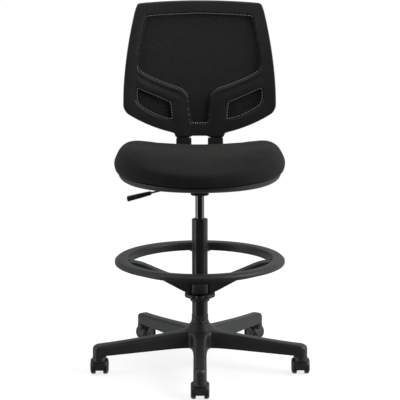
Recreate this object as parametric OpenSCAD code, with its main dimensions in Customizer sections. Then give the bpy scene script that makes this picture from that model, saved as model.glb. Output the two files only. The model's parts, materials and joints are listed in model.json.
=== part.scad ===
// Drafting chair with a gas column, a sliding foot ring and a mesh back.
// The origin is on the floor under the column. +Z is up and the chair faces -Y.

/* [Column and lift] */
// Outer diameter of the column tube
column_d = 50; // [46:1:56]
// Wall thickness of the column tube
column_wall = 2; // [1.5:0.5:3]
// Height of the column tube's top edge
column_top = 470; // [440:5:500]
// Outer diameter of the gas cylinder
cylinder_d = 28; // [25:1:32]
// Wall thickness of the gas cylinder
cylinder_wall = 2; // [1.5:0.5:3]
// Height of the gas cylinder's lower end
cylinder_bottom = 190; // [170:5:230]
// Diameter of the piston rod
rod_d = 10; // [8:1:12]
// Height of the seat bracket's lower face
bracket_z = 547; // [530:1:620]

/* [Base] */
// Distance from the column's axis to each caster's stem
base_r = 328; // [270:2:360]
// Width of a leg
leg_w = 39; // [34:1:46]
// Wall of the hollow leg
leg_wall = 4; // [3:0.5:6]
// Height of a leg's top edge at the hub
leg_root_top = 119; // [112:1:122]
// Height of a leg's top face at its tip
leg_tip_top = 97.6; // [92:0.2:104]
// Radius of the hub
hub_r = 50; // [46:1:56]
// Height of the hub's upper edge
hub_top = 141; // [135:1:150]

/* [Casters] */
// Diameter of a caster wheel
wheel_d = 50; // [44:1:54]
// Width of a caster wheel
wheel_w = 15.5; // [11:0.5:17]
// Gap between the two wheels of a caster
wheel_gap = 24; // [21:0.5:28]
// Diameter of the caster stem
stem_d = 11; // [10:0.5:12]
// Distance of the wheels' axle from the stem's axis
caster_trail = 10; // [6:1:16]
// Height of the hood's lower edge
hood_lip = 18; // [14:1:22]

/* [Foot ring] */
// Outer radius of the ring
ring_r = 266.5; // [220:0.5:300]
// Width of the tread, from the outer edge to the inner edge
ring_tread = 41; // [30:1:50]
// Height of the tread's top face
ring_z = 351; // [333:1:363]
// Width of a spoke
spoke_w = 46; // [36:1:56]

/* [Seat] */
// Widest size of the cushion from side to side
seat_w = 528; // [430:1:560]
// Distance from the column's axis to the front edge of the seat
seat_front = 255; // [220:1:300]
// Distance from the column's axis to the rear edge of the seat
seat_rear = 230; // [200:1:236]
// Thickness of the cushion
cushion_t = 86; // [60:1:110]
// Thickness of the seat board
board_t = 12.5; // [10:0.5:16]
// Distance between the two arm bolts on each side
arm_pitch = 64; // [50:1:80]

/* [Lever] */
// Length of the lever from its pivot to the tip of the paddle
lever_len = 212; // [180:2:240]
// Downward slope of the lever in degrees
lever_slope = 14; // [10:0.5:15]

/* [Back] */
// Widest size of the back frame from side to side
back_w = 502; // [420:1:560]
// Width of the back frame at its top corners
back_top_w = 410; // [340:1:440]
// Height of the back frame's lower edge, in the middle
back_z0 = 709; // [700:1:730]
// Height of the back frame's top edge, in the middle
back_z1 = 1146; // [1060:1:1240]
// Distance from the column's axis to the back frame's foot
back_y0 = 250; // [248:1:270]
// Width of the back frame's border
border_w = 39; // [30:1:50]
// Thickness of the back frame
frame_t = 16; // [14:0.5:22]
// Radius of the back's curve from side to side
wrap_r = 1500; // [1000:50:3000]
// Distance from the middle to the centre of each back bar
bar_x = 55.4; // [50:0.2:64]
// Width of a back bar
bar_w = 40; // [34:1:44]
// Thickness of a back bar
bar_t = 6; // [5:0.5:7]

/* [Hidden] */
$fn = 64;
casters = [1:5];
parts_of_caster = ["hood", "stem", "axle", "wheel_left", "wheel_right"];

// Clearances: a running fit, a loose fit between moving bodies and a drop-in fit
run_gap = 0.06;
move_gap = 0.4;
seat_gap = 0.05;
eps = 0.01;

// Colours
nylon = [0.09, 0.09, 0.10];
satin_black = [0.13, 0.13, 0.14];
steel = [0.62, 0.63, 0.65];
fabric = [0.11, 0.11, 0.12];
mesh_black = [0.06, 0.055, 0.055];

// Base
leg_count = 5;
leg_step = 360 / leg_count;
first_leg = -90;
hub_z0 = 64;
hub_neck_r = column_d / 2 + 3;
leg_root_r = hub_r - 12;
leg_root_z = 70;
leg_tip_z = 61;
leg_ribs = 3;
rib_t = 3;
tip_r = 20;
caster_top = 59.4;
tip_z0 = caster_top + move_gap;
stem_grip = 24;
stem_r = stem_d / 2;
socket_top = tip_z0 + stem_grip + 1;

// Column, bearing and rod
column_r = column_d / 2;
column_bottom = 66;
column_floor = 4;
taper = 1 / 75;
bushing_len = 70;
lip_h = 5;
cylinder_r = cylinder_d / 2;
rod_r = rod_d / 2;
race_z = column_bottom + column_floor;
washer_t = 1.5;
ball_r = 2;
ball_ring_r = rod_r + 5.5;
ball_count = 8;
bearing_r = rod_r + 9;
cage_z = race_z + washer_t + move_gap / 2 + ball_r;
washer_z = cage_z + ball_r + move_gap / 4;
bump_z = washer_z + washer_t + move_gap / 2;
bump_h = 20;
piston_z = 395;
piston_h = 12;
gland_h = 16;
pin_r = 3.5;
collar_h = 24;
collar_t = 1.2;

// Foot ring
ring_skirt_out = 14;
ring_skirt_in = 26;
ring_wall = 4;
collet_t = 2.2;
collet_r = column_r + run_gap;
hub_bore_r = collet_r + collet_t + run_gap;
ring_hub_wall = 6;
ring_hub_z0 = ring_z - 115;
ring_hub_z1 = ring_z - 72;
lock_z0 = ring_z - 142;
lock_flange_z = ring_z - 127;
spoke_knee = ring_r - 86.5;
lock_flange_r = column_r + 24;
lock_wall = 3;
collet_z0 = lock_z0 + 3;
collet_z1 = ring_hub_z1 + 4;

// Seat bracket and lever
bracket_w = 58;
plate_t = 3;
bracket_top = bracket_z + 44;
plate_w = 190;
plate_d = 170;
plate_bolt_x = 80;
plate_bolt_y = 65;
socket_depth = 33;
lever_bay_z = bracket_z + socket_depth;
lever_bay_w = 48;
lever_pivot_x = -20;
lever_pivot_z = bracket_z + 39;
lever_rod_r = 3;
lever_eye_r = 4.5;
lever_pin_r = 2.5;
tongue_t = 4;
tongue_w = 10;
paddle_len = 78;
paddle_w = 36;
paddle_t = 10;
pin_top = lever_pivot_z - tongue_t / 2 - 0.3;

// Seat
pan_z = bracket_top + plate_t;
pan_t = 4;
board_z = pan_z + pan_t;
cushion_z = board_z + board_t;
seat_mid_y = 30;
bolt_r = 4;
bolt_head_r = 7.5;
bolt_head_h = 5.5;
bolt_hole_r = bolt_r + 0.3;
insert_r = 5;
arm_hole_r = 3;
arm_x = 170;
arm_y = 20;
bar_bolt_y = [110, 160];
tnut_r = 5.5;

// Back
back_slope = 0.05;
back_bow = 3400;
boss_z = back_z0 - 10;
arm_rise = 0.42;
arm_depth = 52;
arm_post_z = back_z0 + 146;
wide_z = back_z0 + 106;
sag_x = 216;
sag_h = 60;
post_lean = 10;
post_w = 51;
mesh_t = 1.2;
mesh_lap = 10;
retainer_t = 5.5;
retainer_in = 5;
bar_bend_r = 28;
bar_start_y = 95;
bar_end_z = back_z0 + 78;
bar_z = pan_z - bar_t / 2;
sleeve_w = 50;
sleeve_t = 13;
sleeve_z = bar_z + bar_bend_r + 2;
band_steps = 10;
opening_fillet = 7;
screw_r = 1.8;
screw_head_r = 3.6;

// ---------------------------------------------------------------- functions

function leg_top(t) = leg_tip_top + (leg_root_top - leg_tip_top) * pow(1 - t, 1.3);
function leg_bottom(t) = leg_root_z + (leg_tip_z - leg_root_z) * t;
function leg_at(t) = leg_root_r + (base_r - leg_root_r) * t;
function column_r_at(z) = column_r - max(0, hub_top - z) * taper;
function spoke_angle(i) = 90 * i;

// Rest direction of each caster: the angle of its trail away from +Y
caster_yaw = [0, 0, 45, -45, 0];

// A rounded seat plan: a front half with one roundness and a rear half with another
function signed_pow(v, p) = sign(v) * pow(abs(v), p);
function plan_point(a, inset, w, front, rear) =
    let (power = sin(a) < 0 ? 2 / 2.1 : 2 / 3.6,
         half_w = w / 2 - inset,
         reach = sin(a) < 0 ? front + seat_mid_y - inset : rear - seat_mid_y - inset)
    [half_w * signed_pow(cos(a), power), seat_mid_y + reach * signed_pow(sin(a), power)];
function seat_plan(inset) =
    [for (a = [0:5:355]) plan_point(a, inset, seat_w, seat_front, seat_rear)];

// Middle of the back's thickness as it rises
function back_y(z) = back_y0 + back_slope * (z - back_z0) + pow(z - back_z0, 2) / back_bow;
// The same surface away from the middle, where the back wraps forward
function wrap_y(x, z) = back_y0 - wrap_r + sqrt(pow(wrap_r + back_y(z) - back_y0, 2) - x * x);

// Half the back's width at a height above its widest level
function back_half(z) = let (rise = max(0, z - wide_z) / (back_z1 - wide_z))
    back_w / 2 - (back_w - back_top_w) / 2 * pow(rise, 1.8);
function back_foot(x) = back_z0 + sag_h * pow(x / sag_x, 2);

// Right half of the back's outline, from the middle of its foot to the middle of its top
back_side = concat(
    [for (x = [0:30:210]) [x, back_foot(x)]],
    [[back_w / 2 - 12, back_foot(back_w / 2 - 16)], [back_w / 2, wide_z - 12]],
    [for (z = [wide_z:40:back_z1 - 40]) [back_half(z), z]],
    [[back_top_w / 2 + 1, back_z1 - 22], [back_top_w / 2 - 8, back_z1 - 10]],
    [for (x = [160:-40:0]) [x, back_z1 - 9 * pow(x / 196, 2)]]);
back_outline = concat(back_side,
    [for (i = [len(back_side) - 2:-1:1]) [-back_side[i][0], back_side[i][1]]]);

// Middle line of a back bar: forward under the seat, round the bend and up into the frame
function bar_y(z) = wrap_y(bar_x, max(z, back_z0));
bar_bend = [for (a = [-90:15:0]) [bar_y(0) - bar_bend_r + bar_bend_r * cos(a),
                                  bar_z + bar_bend_r + bar_bend_r * sin(a)]];
bar_line = concat([[bar_start_y, bar_z]], bar_bend,
    [for (z = [back_z0 - 5:20:bar_end_z]) [bar_y(z), z]]);

// Both sides of a line in a plane, offset by half a thickness
function unit(v) = v / norm(v);
function turn(v) = [-v[1], v[0]];
function line_dir(p, i) = unit(p[min(i + 1, len(p) - 1)] - p[max(i - 1, 0)]);
function thick_line(p, t) = concat(
    [for (i = [0:len(p) - 1]) p[i] + turn(line_dir(p, i)) * t / 2],
    [for (i = [len(p) - 1:-1:0]) p[i] - turn(line_dir(p, i)) * t / 2]);

// Screw places round the back frame's border, as x and z
back_screw_side = [for (k = [0.09, 0.38, 0.67]) let (z = wide_z + k * (back_z1 - wide_z))
    [back_half(z) - border_w / 2, z]];
back_screw_ends = [[150, back_foot(150) + border_w / 2 + 2], [70, back_z1 - border_w / 2 - 1]];
back_screw_at = [for (s = [-1, 1], p = concat(back_screw_side, back_screw_ends)) [s * p[0], p[1]]];

// ---------------------------------------------------------------- helpers

module at_legs() {
    for (i = [0:leg_count - 1]) rotate(first_leg + leg_step * i) children();
}

module ring_of(r_out, r_in, z, h) {
    translate([0, 0, z])
        difference() {
            cylinder(r = r_out, h = h);
            translate([0, 0, -1]) cylinder(r = r_in, h = h + 2);
        }
}

// A profile in x and z, extruded along Y about the middle
module along_y(w) {
    rotate([90, 0, 0]) linear_extrude(height = w, center = true) children();
}

// A profile in y and z, extruded along X about the middle
module along_x(w) {
    rotate([90, 0, 90]) linear_extrude(height = w, center = true) children();
}

// ---------------------------------------------------------------- base

module leg_profile(drop, t0, t1) {
    steps = 6;
    polygon(concat(
        [for (k = [0:steps]) let (t = t0 + (t1 - t0) * k / steps) [leg_at(t), leg_top(t) - drop]],
        [for (k = [steps, 0]) let (t = t0 + (t1 - t0) * k / steps)
            [leg_at(t), drop > 0 ? leg_bottom(t) - 20 : leg_bottom(t)]]));
}

module leg_cells() {
    first = 0.1;
    last = 1 - (tip_r + 5) / (base_r - leg_root_r);
    pitch = (last - first) / (leg_ribs + 1);
    rib_share = rib_t / (base_r - leg_root_r);
    for (k = [0:leg_ribs])
        along_y(leg_w - 2 * leg_wall)
            leg_profile(leg_wall, first + pitch * k, first + pitch * (k + 1) - rib_share);
}

module base_star() {
    color(nylon)
    difference() {
        union() {
            rotate_extrude()
                polygon([[0, hub_z0], [hub_r - 4, hub_z0], [hub_r, hub_z0 + 4],
                         [hub_r, leg_root_top - 11], [hub_r - 3, leg_root_top - 3],
                         [hub_r - 10, leg_root_top + 8], [hub_neck_r + 3, hub_top - 6],
                         [hub_neck_r, hub_top], [0, hub_top]]);
            at_legs() along_y(leg_w) leg_profile(0, 0, 1);
            at_legs() translate([base_r, 0, tip_z0]) cylinder(r = tip_r, h = leg_tip_top - tip_z0);
        }
        at_legs() leg_cells();
        at_legs() translate([base_r, 0, tip_z0 - 5]) cylinder(r = tip_r - leg_wall, h = 5);
        at_legs() translate([base_r, 0, leg_tip_z - 5])
            cylinder(r = stem_r + run_gap, h = socket_top - leg_tip_z + 5);
        rotate_extrude()
            polygon([[0, hub_z0 - 1], [column_r_at(hub_z0 - 1) + seat_gap, hub_z0 - 1],
                     [column_r + seat_gap, hub_top], [column_r + seat_gap, hub_top + 1],
                     [0, hub_top + 1]]);
    }
}

// ---------------------------------------------------------------- casters

module at_caster(i) {
    rotate(first_leg + leg_step * (i - 1)) translate([base_r, 0, 0])
        rotate(-(first_leg + leg_step * (i - 1)) + caster_yaw[i - 1]) children();
}

// The axle's line, along X behind the stem
module at_axle() {
    translate([0, caster_trail, wheel_d / 2]) rotate([0, 90, 0]) children();
}

well_r = wheel_d / 2 + 1.6;
hood_r = well_r + 2.9;
web_half = wheel_gap / 2 - 0.5;
well_half = wheel_gap / 2 + wheel_w + 0.5;
hood_half = wheel_gap / 2 + 8.5;
cap_t = 1.5;
cap_z = wheel_w - 2 - cap_t;
axle_r = 4;
stem_z0 = 36;

module caster_hood(i) {
    color(nylon)
    at_caster(i)
    difference() {
        union() {
            at_axle() cylinder(r = hood_r, h = 2 * hood_half, center = true);
            translate([0, 0, wheel_d / 2]) cylinder(r = hood_half - 1, h = caster_top - wheel_d / 2);
        }
        for (s = [-1, 1]) at_axle()
            translate([0, 0, s * (web_half + well_half) / 2])
                cylinder(r = well_r, h = well_half - web_half, center = true);
        translate([0, caster_trail, hood_lip - 25]) cube([100, 100, 50], center = true);
        translate([0, 0, stem_z0]) cylinder(r = stem_r, h = caster_top);
        at_axle() cylinder(r = axle_r, h = 2 * web_half + 1, center = true);
    }
}

module caster_stem(i) {
    color(steel)
    at_caster(i) translate([0, 0, stem_z0]) {
        grip_z = caster_top + stem_grip - stem_z0;
        difference() {
            cylinder(r = stem_r, h = grip_z);
            ring_of(stem_r + 1, stem_r - 0.8, grip_z - 8, 3);
        }
    }
}

module caster_axle(i) {
    color(steel)
    at_caster(i) at_axle() cylinder(r = axle_r, h = wheel_gap + 2 * cap_z - 0.6, center = true);
}

// A wheel: a rounded tread, a dished outer face and a running bore closed by a cap.
// Side is -1 or 1 along X.
module caster_wheel(i, side) {
    r = wheel_d / 2;
    dish = 4;
    color(nylon)
    at_caster(i) at_axle() translate([0, 0, side * wheel_gap / 2])
        rotate([side > 0 ? 0 : 180, 0, 0])
        rotate_extrude()
            polygon([[axle_r + run_gap, 0], [r - 2.5, 0], [r - 0.7, 0.7], [r, 2.5],
                     [r, wheel_w - 6], [r - 1.5, wheel_w - 2.5], [r - 4.5, wheel_w - 0.3],
                     [r - 6.5, wheel_w], [r - 8, wheel_w - dish], [axle_r + 4, wheel_w - dish],
                     [axle_r + 3, wheel_w - 2], [0, wheel_w - 2], [0, cap_z],
                     [axle_r + run_gap, cap_z]]);
}

// ---------------------------------------------------------------- column and lift

module column_tube() {
    inner = column_r - column_wall;
    color(satin_black)
    rotate_extrude()
        polygon([[rod_r + 2, column_bottom], [column_r_at(column_bottom), column_bottom],
                 [column_r, hub_top], [column_r, column_top], [inner, column_top],
                 [inner, hub_top], [column_r_at(race_z) - column_wall, race_z],
                 [rod_r + 2, race_z]]);
}

module guide_bushing() {
    outer = column_r - column_wall - seat_gap;
    inner = cylinder_r + run_gap;
    color(nylon)
    rotate_extrude()
        polygon([[inner, column_top - bushing_len], [outer, column_top - bushing_len],
                 [outer, column_top], [column_r, column_top], [column_r, column_top + lip_h - 3],
                 [column_r - 3, column_top + lip_h], [inner, column_top + lip_h]]);
}

// A slotted collar round the column's foot, with a small flange on the hub
module column_foot_collar() {
    slots = 12;
    bore = column_r + seat_gap;
    color(satin_black)
    difference() {
        union() {
            ring_of(bore + collar_t, bore, hub_top, collar_h);
            ring_of(hub_neck_r - 0.2, bore, hub_top, 5);
        }
        for (k = [0:slots - 1]) rotate(360 / slots * k)
            translate([bore - 1, -1, hub_top + 8]) cube([4, 2, collar_h]);
    }
}

module bearing_race() {
    color(steel) ring_of(bearing_r, rod_r + 0.5, race_z, washer_t);
}

module ball_cage() {
    color(steel) {
        difference() {
            ring_of(bearing_r - 1, rod_r + 1.5, cage_z - 0.8, 1.6);
            for (k = [0:ball_count - 1]) rotate(360 / ball_count * k)
                translate([ball_ring_r, 0, cage_z - 2]) cylinder(r = ball_r + run_gap, h = 4);
        }
        for (k = [0:ball_count - 1]) rotate(360 / ball_count * k)
            translate([ball_ring_r, 0, cage_z]) sphere(r = ball_r);
    }
}

module thrust_washer() {
    color(steel) ring_of(bearing_r, rod_r + seat_gap, washer_z, washer_t);
}

module bump_stop() {
    color(nylon) ring_of(bearing_r + 2, rod_r + seat_gap, bump_z, bump_h);
}

clip_z = column_bottom - 4;
clip_t = 1.4;

module rod_clip() {
    color(steel) ring_of(rod_r + 4, rod_r - 1, clip_z, clip_t);
}

module piston_rod() {
    piston_r = cylinder_r - cylinder_wall - run_gap;
    color(steel)
    difference() {
        union() {
            translate([0, 0, clip_z - 3]) cylinder(r = rod_r, h = piston_z - clip_z + 4);
            translate([0, 0, piston_z]) cylinder(r = piston_r, h = piston_h);
        }
        ring_of(rod_r + 1, rod_r - 1, clip_z, clip_t);
    }
}

function socket_r_at(z) = cylinder_r - max(0, z - bracket_z) / 42;

module gas_cylinder() {
    bore = cylinder_r - cylinder_wall;
    chamber_top = bracket_z - 2;
    color(steel)
    rotate_extrude()
        polygon([[rod_r + run_gap, cylinder_bottom], [cylinder_r - 1, cylinder_bottom],
                 [cylinder_r, cylinder_bottom + 2], [cylinder_r, bracket_z],
                 [socket_r_at(lever_bay_z), lever_bay_z], [pin_r + run_gap, lever_bay_z],
                 [pin_r + run_gap, chamber_top], [bore, chamber_top],
                 [bore, cylinder_bottom + gland_h], [rod_r + run_gap, cylinder_bottom + gland_h]]);
}

// The valve pin in the top of the cylinder, kept in by a shoulder inside
module release_pin() {
    shoulder_z = bracket_z - 6;
    color(steel)
    union() {
        translate([0, 0, shoulder_z - 4]) cylinder(r = pin_r, h = pin_top - shoulder_z + 3);
        translate([0, 0, pin_top - 1]) cylinder(r1 = pin_r, r2 = pin_r - 1, h = 1);
        translate([0, 0, shoulder_z]) cylinder(r = pin_r + 2, h = 2);
    }
}

// ---------------------------------------------------------------- foot ring

module ring_collet() {
    slots = 6;
    color(nylon)
    difference() {
        ring_of(collet_r + collet_t, collet_r, collet_z0, collet_z1 - collet_z0);
        for (k = [0:slots - 1]) rotate(360 / slots * k + 15)
            translate([collet_r - 1, -1, collet_z0 - 1]) cube([5, 2, 30]);
    }
}

// Side view of a spoke, from the hub out to the ring: it meets the ring below the tread
module spoke_profile() {
    reach = ring_r - ring_tread + 2;
    root = hub_bore_r + 2;
    polygon([[root, ring_z - 75], [hub_bore_r + 30, ring_z - 72],
             [spoke_knee - 58, ring_z - 50], [spoke_knee, ring_z - 26],
             [spoke_knee + 24, ring_z - 21], [reach, ring_z - 20],
             [reach, ring_z - 33], [spoke_knee + 8, ring_z - 34],
             [hub_bore_r + 19, ring_hub_z0 + 3], [root, ring_hub_z0 + 3]]);
}

module foot_ring() {
    inner = ring_r - ring_tread;
    hub_outer = hub_bore_r + ring_hub_wall;
    color(nylon)
    difference() {
        union() {
            rotate_extrude()
                polygon([[inner, ring_z - ring_skirt_in], [inner + ring_wall, ring_z - ring_skirt_in],
                         [inner + ring_wall, ring_z - ring_wall],
                         [ring_r - ring_wall, ring_z - ring_wall],
                         [ring_r - ring_wall, ring_z - ring_skirt_out],
                         [ring_r, ring_z - ring_skirt_out], [ring_r, ring_z - 3],
                         [ring_r - 3, ring_z], [inner + 3, ring_z], [inner, ring_z - 3]]);
            for (i = [0:3]) rotate(spoke_angle(i)) along_y(spoke_w) spoke_profile();
            translate([0, 0, ring_hub_z0])
                cylinder(r = hub_outer, h = ring_hub_z1 - ring_hub_z0);
        }
        translate([0, 0, ring_hub_z0 - 1]) cylinder(r = hub_bore_r, h = ring_z);
    }
}

// The turning lock under the hub: a barrel with a lobed grip flange
module ring_lock() {
    lobes = 10;
    outer = hub_bore_r + lock_wall;
    color(satin_black)
    difference() {
        union() {
            translate([0, 0, lock_z0]) cylinder(r = outer, h = ring_hub_z0 - move_gap - lock_z0);
            translate([0, 0, lock_flange_z])
                cylinder(r = lock_flange_r, h = ring_hub_z0 - move_gap - lock_flange_z);
        }
        for (k = [0:lobes - 1]) rotate(360 / lobes * (k + 0.5))
            translate([lock_flange_r + 4, 0, lock_flange_z - 1]) cylinder(r = 7, h = 20);
        translate([0, 0, lock_z0 - 1]) cylinder(r = hub_bore_r, h = ring_z);
    }
}

// ---------------------------------------------------------------- seat bracket and lever

module seat_bracket() {
    half = bracket_w / 2;
    bay = lever_bay_w / 2;
    color(satin_black)
    difference() {
        translate([-half, -half, bracket_z]) cube([bracket_w, bracket_w, bracket_top - bracket_z]);
        rotate_extrude()
            polygon([[0, bracket_z - 1], [socket_r_at(bracket_z) + seat_gap, bracket_z - 1],
                     [socket_r_at(bracket_z) + seat_gap, bracket_z],
                     [socket_r_at(lever_bay_z) + seat_gap, lever_bay_z], [0, lever_bay_z]]);
        translate([-bay, -bay, lever_bay_z - eps])
            cube([lever_bay_w, lever_bay_w, bracket_top - lever_bay_z + 1]);
        translate([-half - 1, -7, lever_bay_z - 5]) cube([half, 14, bracket_top - lever_bay_z + 6]);
        translate([lever_pivot_x, 0, lever_pivot_z]) rotate([90, 0, 0])
            cylinder(r = lever_pin_r + seat_gap, h = bracket_w + 2, center = true);
    }
}

module at_plate_bolts() {
    for (sx = [-1, 1], sy = [-1, 1]) translate([sx * plate_bolt_x, sy * plate_bolt_y, 0]) children();
}

module at_bar_bolts() {
    for (s = [-1, 1], y = bar_bolt_y) translate([s * bar_x, y, 0]) children();
}

module at_arm_holes() {
    for (s = [-1, 1], k = [-1, 1]) translate([s * arm_x, arm_y + k * arm_pitch / 2, 0]) children();
}

module seat_plate() {
    color(satin_black)
    difference() {
        translate([-plate_w / 2, -plate_d / 2, bracket_top]) cube([plate_w, plate_d, plate_t]);
        at_plate_bolts() translate([0, 0, bracket_top - 1]) cylinder(r = bolt_hole_r, h = plate_t + 2);
    }
}

// A hexagon bolt with its head at a height and its shank above
module hex_bolt(z, len) {
    translate([0, 0, z - bolt_head_h]) cylinder(r = bolt_head_r, h = bolt_head_h, $fn = 6);
    translate([0, 0, z - eps]) cylinder(r = bolt_r, h = len);
}

module plate_bolts() {
    color(steel) at_plate_bolts() hex_bolt(bracket_top, board_t + plate_t + pan_t - 1);
}

module lever_pin() {
    color(steel)
    translate([lever_pivot_x, 0, lever_pivot_z]) rotate([90, 0, 0])
        cylinder(r = lever_pin_r, h = bracket_w - 2, center = true);
}

module at_lever() {
    translate([lever_pivot_x, 0, lever_pivot_z]) rotate([0, -lever_slope, 0]) children();
}

module lever_rod() {
    color(steel)
    difference() {
        union() {
            at_lever() rotate([0, -90, 0]) cylinder(r = lever_rod_r, h = lever_len - paddle_len / 2);
            translate([lever_pivot_x, 0, lever_pivot_z]) rotate([90, 0, 0])
                cylinder(r = lever_eye_r, h = tongue_w, center = true);
            translate([lever_pivot_x, -tongue_w / 2, lever_pivot_z - tongue_t / 2])
                cube([-lever_pivot_x + 5, tongue_w, tongue_t]);
        }
        translate([lever_pivot_x, 0, lever_pivot_z]) rotate([90, 0, 0])
            cylinder(r = lever_pin_r + run_gap, h = tongue_w + 2, center = true);
    }
}

module lever_paddle() {
    corner = 9;
    rod_in = lever_len - paddle_len;
    color(nylon)
    at_lever()
    difference() {
        translate([-lever_len, 0, -paddle_t / 2]) linear_extrude(height = paddle_t) hull() {
            for (s = [-1, 1]) {
                translate([corner, s * (paddle_w / 2 - corner)]) circle(r = corner, $fn = 32);
                translate([paddle_len - corner, s * (paddle_w / 2 - corner - 4)])
                    circle(r = corner - 3, $fn = 32);
            }
        }
        rotate([0, -90, 0]) translate([0, 0, rod_in - 1])
            cylinder(r = lever_rod_r + seat_gap, h = paddle_len / 2 + 1 + seat_gap);
    }
}

// ---------------------------------------------------------------- seat

// A convex stack of seat plans, each given as a height and an inset
module seat_stack(levels) {
    hull() for (l = levels) translate([0, 0, l[0]]) linear_extrude(height = 0.1)
        polygon(seat_plan(l[1]));
}

module seat_pan() {
    rim = 9;
    color(nylon)
    difference() {
        seat_stack([[pan_z, 44], [pan_z + 6, 24], [cushion_z - 0.1, rim]]);
        seat_stack([[board_z, 40], [board_z + 5, 25], [cushion_z + 1, rim + pan_t]]);
        at_plate_bolts() translate([0, 0, pan_z - 1]) cylinder(r = bolt_hole_r, h = 10);
        at_bar_bolts() translate([0, 0, pan_z - 1]) cylinder(r = bolt_hole_r, h = 10);
        at_arm_holes() translate([0, 0, pan_z - 1]) cylinder(r = insert_r, h = 10);
    }
}

module seat_board() {
    color("burlywood")
    difference() {
        translate([0, 0, board_z]) linear_extrude(height = board_t) polygon(seat_plan(42));
        at_plate_bolts() translate([0, 0, board_z - 1]) cylinder(r = tnut_r, h = board_t + 2);
        at_bar_bolts() translate([0, 0, board_z - 1]) cylinder(r = tnut_r, h = board_t + 2);
        at_arm_holes() translate([0, 0, board_z - 1]) cylinder(r = insert_r, h = board_t + 2);
    }
}

module seat_tnuts() {
    color(steel) {
        at_plate_bolts() ring_of(tnut_r, bolt_r, board_z, board_t);
        at_bar_bolts() ring_of(tnut_r, bolt_r, board_z, board_t);
    }
}

module arm_inserts() {
    color(steel) at_arm_holes() ring_of(insert_r, arm_hole_r, pan_z, board_t);
}

module seat_cushion() {
    color(fabric)
    seat_stack([[cushion_z, 9], [cushion_z + 0.24 * cushion_t, 1.5], [cushion_z + 0.47 * cushion_t, 0],
                [cushion_z + 0.8 * cushion_t, 12], [cushion_z + 0.94 * cushion_t, 34],
                [cushion_z + cushion_t - 0.1, 70]]);
}

// ---------------------------------------------------------------- back

module back_bar(side) {
    color(satin_black)
    difference() {
        translate([side * bar_x, 0, 0]) along_x(bar_w) polygon(thick_line(bar_line, bar_t));
        at_bar_bolts() translate([0, 0, bar_z - bar_t]) cylinder(r = bolt_hole_r, h = 2 * bar_t);
    }
}

module back_bar_bolts() {
    color(steel) at_bar_bolts() hex_bolt(bar_z - bar_t / 2, board_t + bar_t + pan_t - 1);
}

module bar_sleeve(side) {
    height = boss_z - 0.5 - sleeve_z;
    color(nylon)
    difference() {
        translate([side * bar_x, bar_y(0), sleeve_z]) linear_extrude(height = height)
            hull() for (s = [-1, 1])
                translate([s * (sleeve_w - sleeve_t) / 2, 0]) circle(d = sleeve_t, $fn = 32);
        translate([side * bar_x - bar_w / 2, bar_y(0) - bar_t / 2, sleeve_z - 1])
            cube([bar_w, bar_t, height + 2]);
    }
}

// A curved shell of the back, between two distances from its middle surface
module back_band(front, rear) {
    zs = [for (k = [0:band_steps]) boss_z + (back_z1 + 4 - boss_z) * k / band_steps];
    span = asin((back_w / 2 + 20) / wrap_r);
    translate([0, back_y0 - wrap_r, 0]) rotate(90 - span) rotate_extrude(angle = 2 * span, $fn = 256)
        polygon(concat(
            [for (z = zs) [wrap_r + back_y(z) - back_y0 + front, z]],
            [for (k = [band_steps:-1:0]) [wrap_r + back_y(zs[k]) - back_y0 + rear, zs[k]]]));
}

// A flat shape in x and z, pushed through the back along Y
module through_back() {
    translate([0, back_y0 + 40, 0]) along_y(240) children();
}

module back_posts() {
    for (s = [-1, 1]) scale([s, 1]) polygon([
        [bar_x - post_w / 2, boss_z], [bar_x + post_w / 2, boss_z],
        [bar_x + post_w / 2 + post_lean, arm_post_z - 30],
        [bar_x - post_w / 2 + post_lean, arm_post_z - 10]]);
}

module lumbar_arms() {
    x0 = bar_x;
    x1 = back_w / 2 - border_w / 2;
    for (s = [-1, 1]) scale([s, 1]) polygon([
        [x0, arm_post_z], [x0, arm_post_z - arm_depth],
        [x1, arm_post_z - arm_depth + (x1 - x0) * arm_rise], [x1, arm_post_z + (x1 - x0) * arm_rise]]);
}

// The frame's front view, with every inner corner rounded
module frame_face() {
    offset(r = -opening_fillet, $fn = 24) offset(r = opening_fillet, $fn = 24) {
        difference() {
            polygon(back_outline);
            offset(delta = -border_w) polygon(back_outline);
        }
        back_posts();
        lumbar_arms();
    }
}

module back_frame() {
    color(nylon)
    difference() {
        intersection() {
            back_band(-frame_t / 2, frame_t / 2);
            through_back() frame_face();
        }
        for (s = [-1, 1]) translate([s * bar_x, 0, 0]) along_x(bar_w + 0.2)
            polygon(thick_line(concat([[bar_y(0), boss_z - 1]], [for (p = bar_line) if (p[1] > boss_z) p],
                [[bar_y(bar_end_z + 1), bar_end_z + 1]]), bar_t + 0.2));
        for (p = back_screw_at) translate([p[0], wrap_y(p[0], p[1]), p[1]]) rotate([-90, 0, 0])
            cylinder(r = screw_r + seat_gap, h = frame_t);
    }
}

module back_mesh() {
    color(mesh_black)
    intersection() {
        back_band(frame_t / 2 + seat_gap, frame_t / 2 + seat_gap + mesh_t);
        through_back() offset(delta = mesh_lap - border_w) polygon(back_outline);
    }
}

module back_retainer() {
    color(nylon)
    difference() {
        intersection() {
            back_band(frame_t / 2 + mesh_t + 2 * seat_gap,
                      frame_t / 2 + mesh_t + 2 * seat_gap + retainer_t);
            through_back() difference() {
                offset(delta = -retainer_in) polygon(back_outline);
                offset(delta = retainer_in - border_w) polygon(back_outline);
            }
        }
        for (p = back_screw_at) translate([p[0], wrap_y(p[0], p[1]), p[1]]) rotate([-90, 0, 0])
            cylinder(r = screw_r + seat_gap, h = 2 * frame_t);
    }
}

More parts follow.
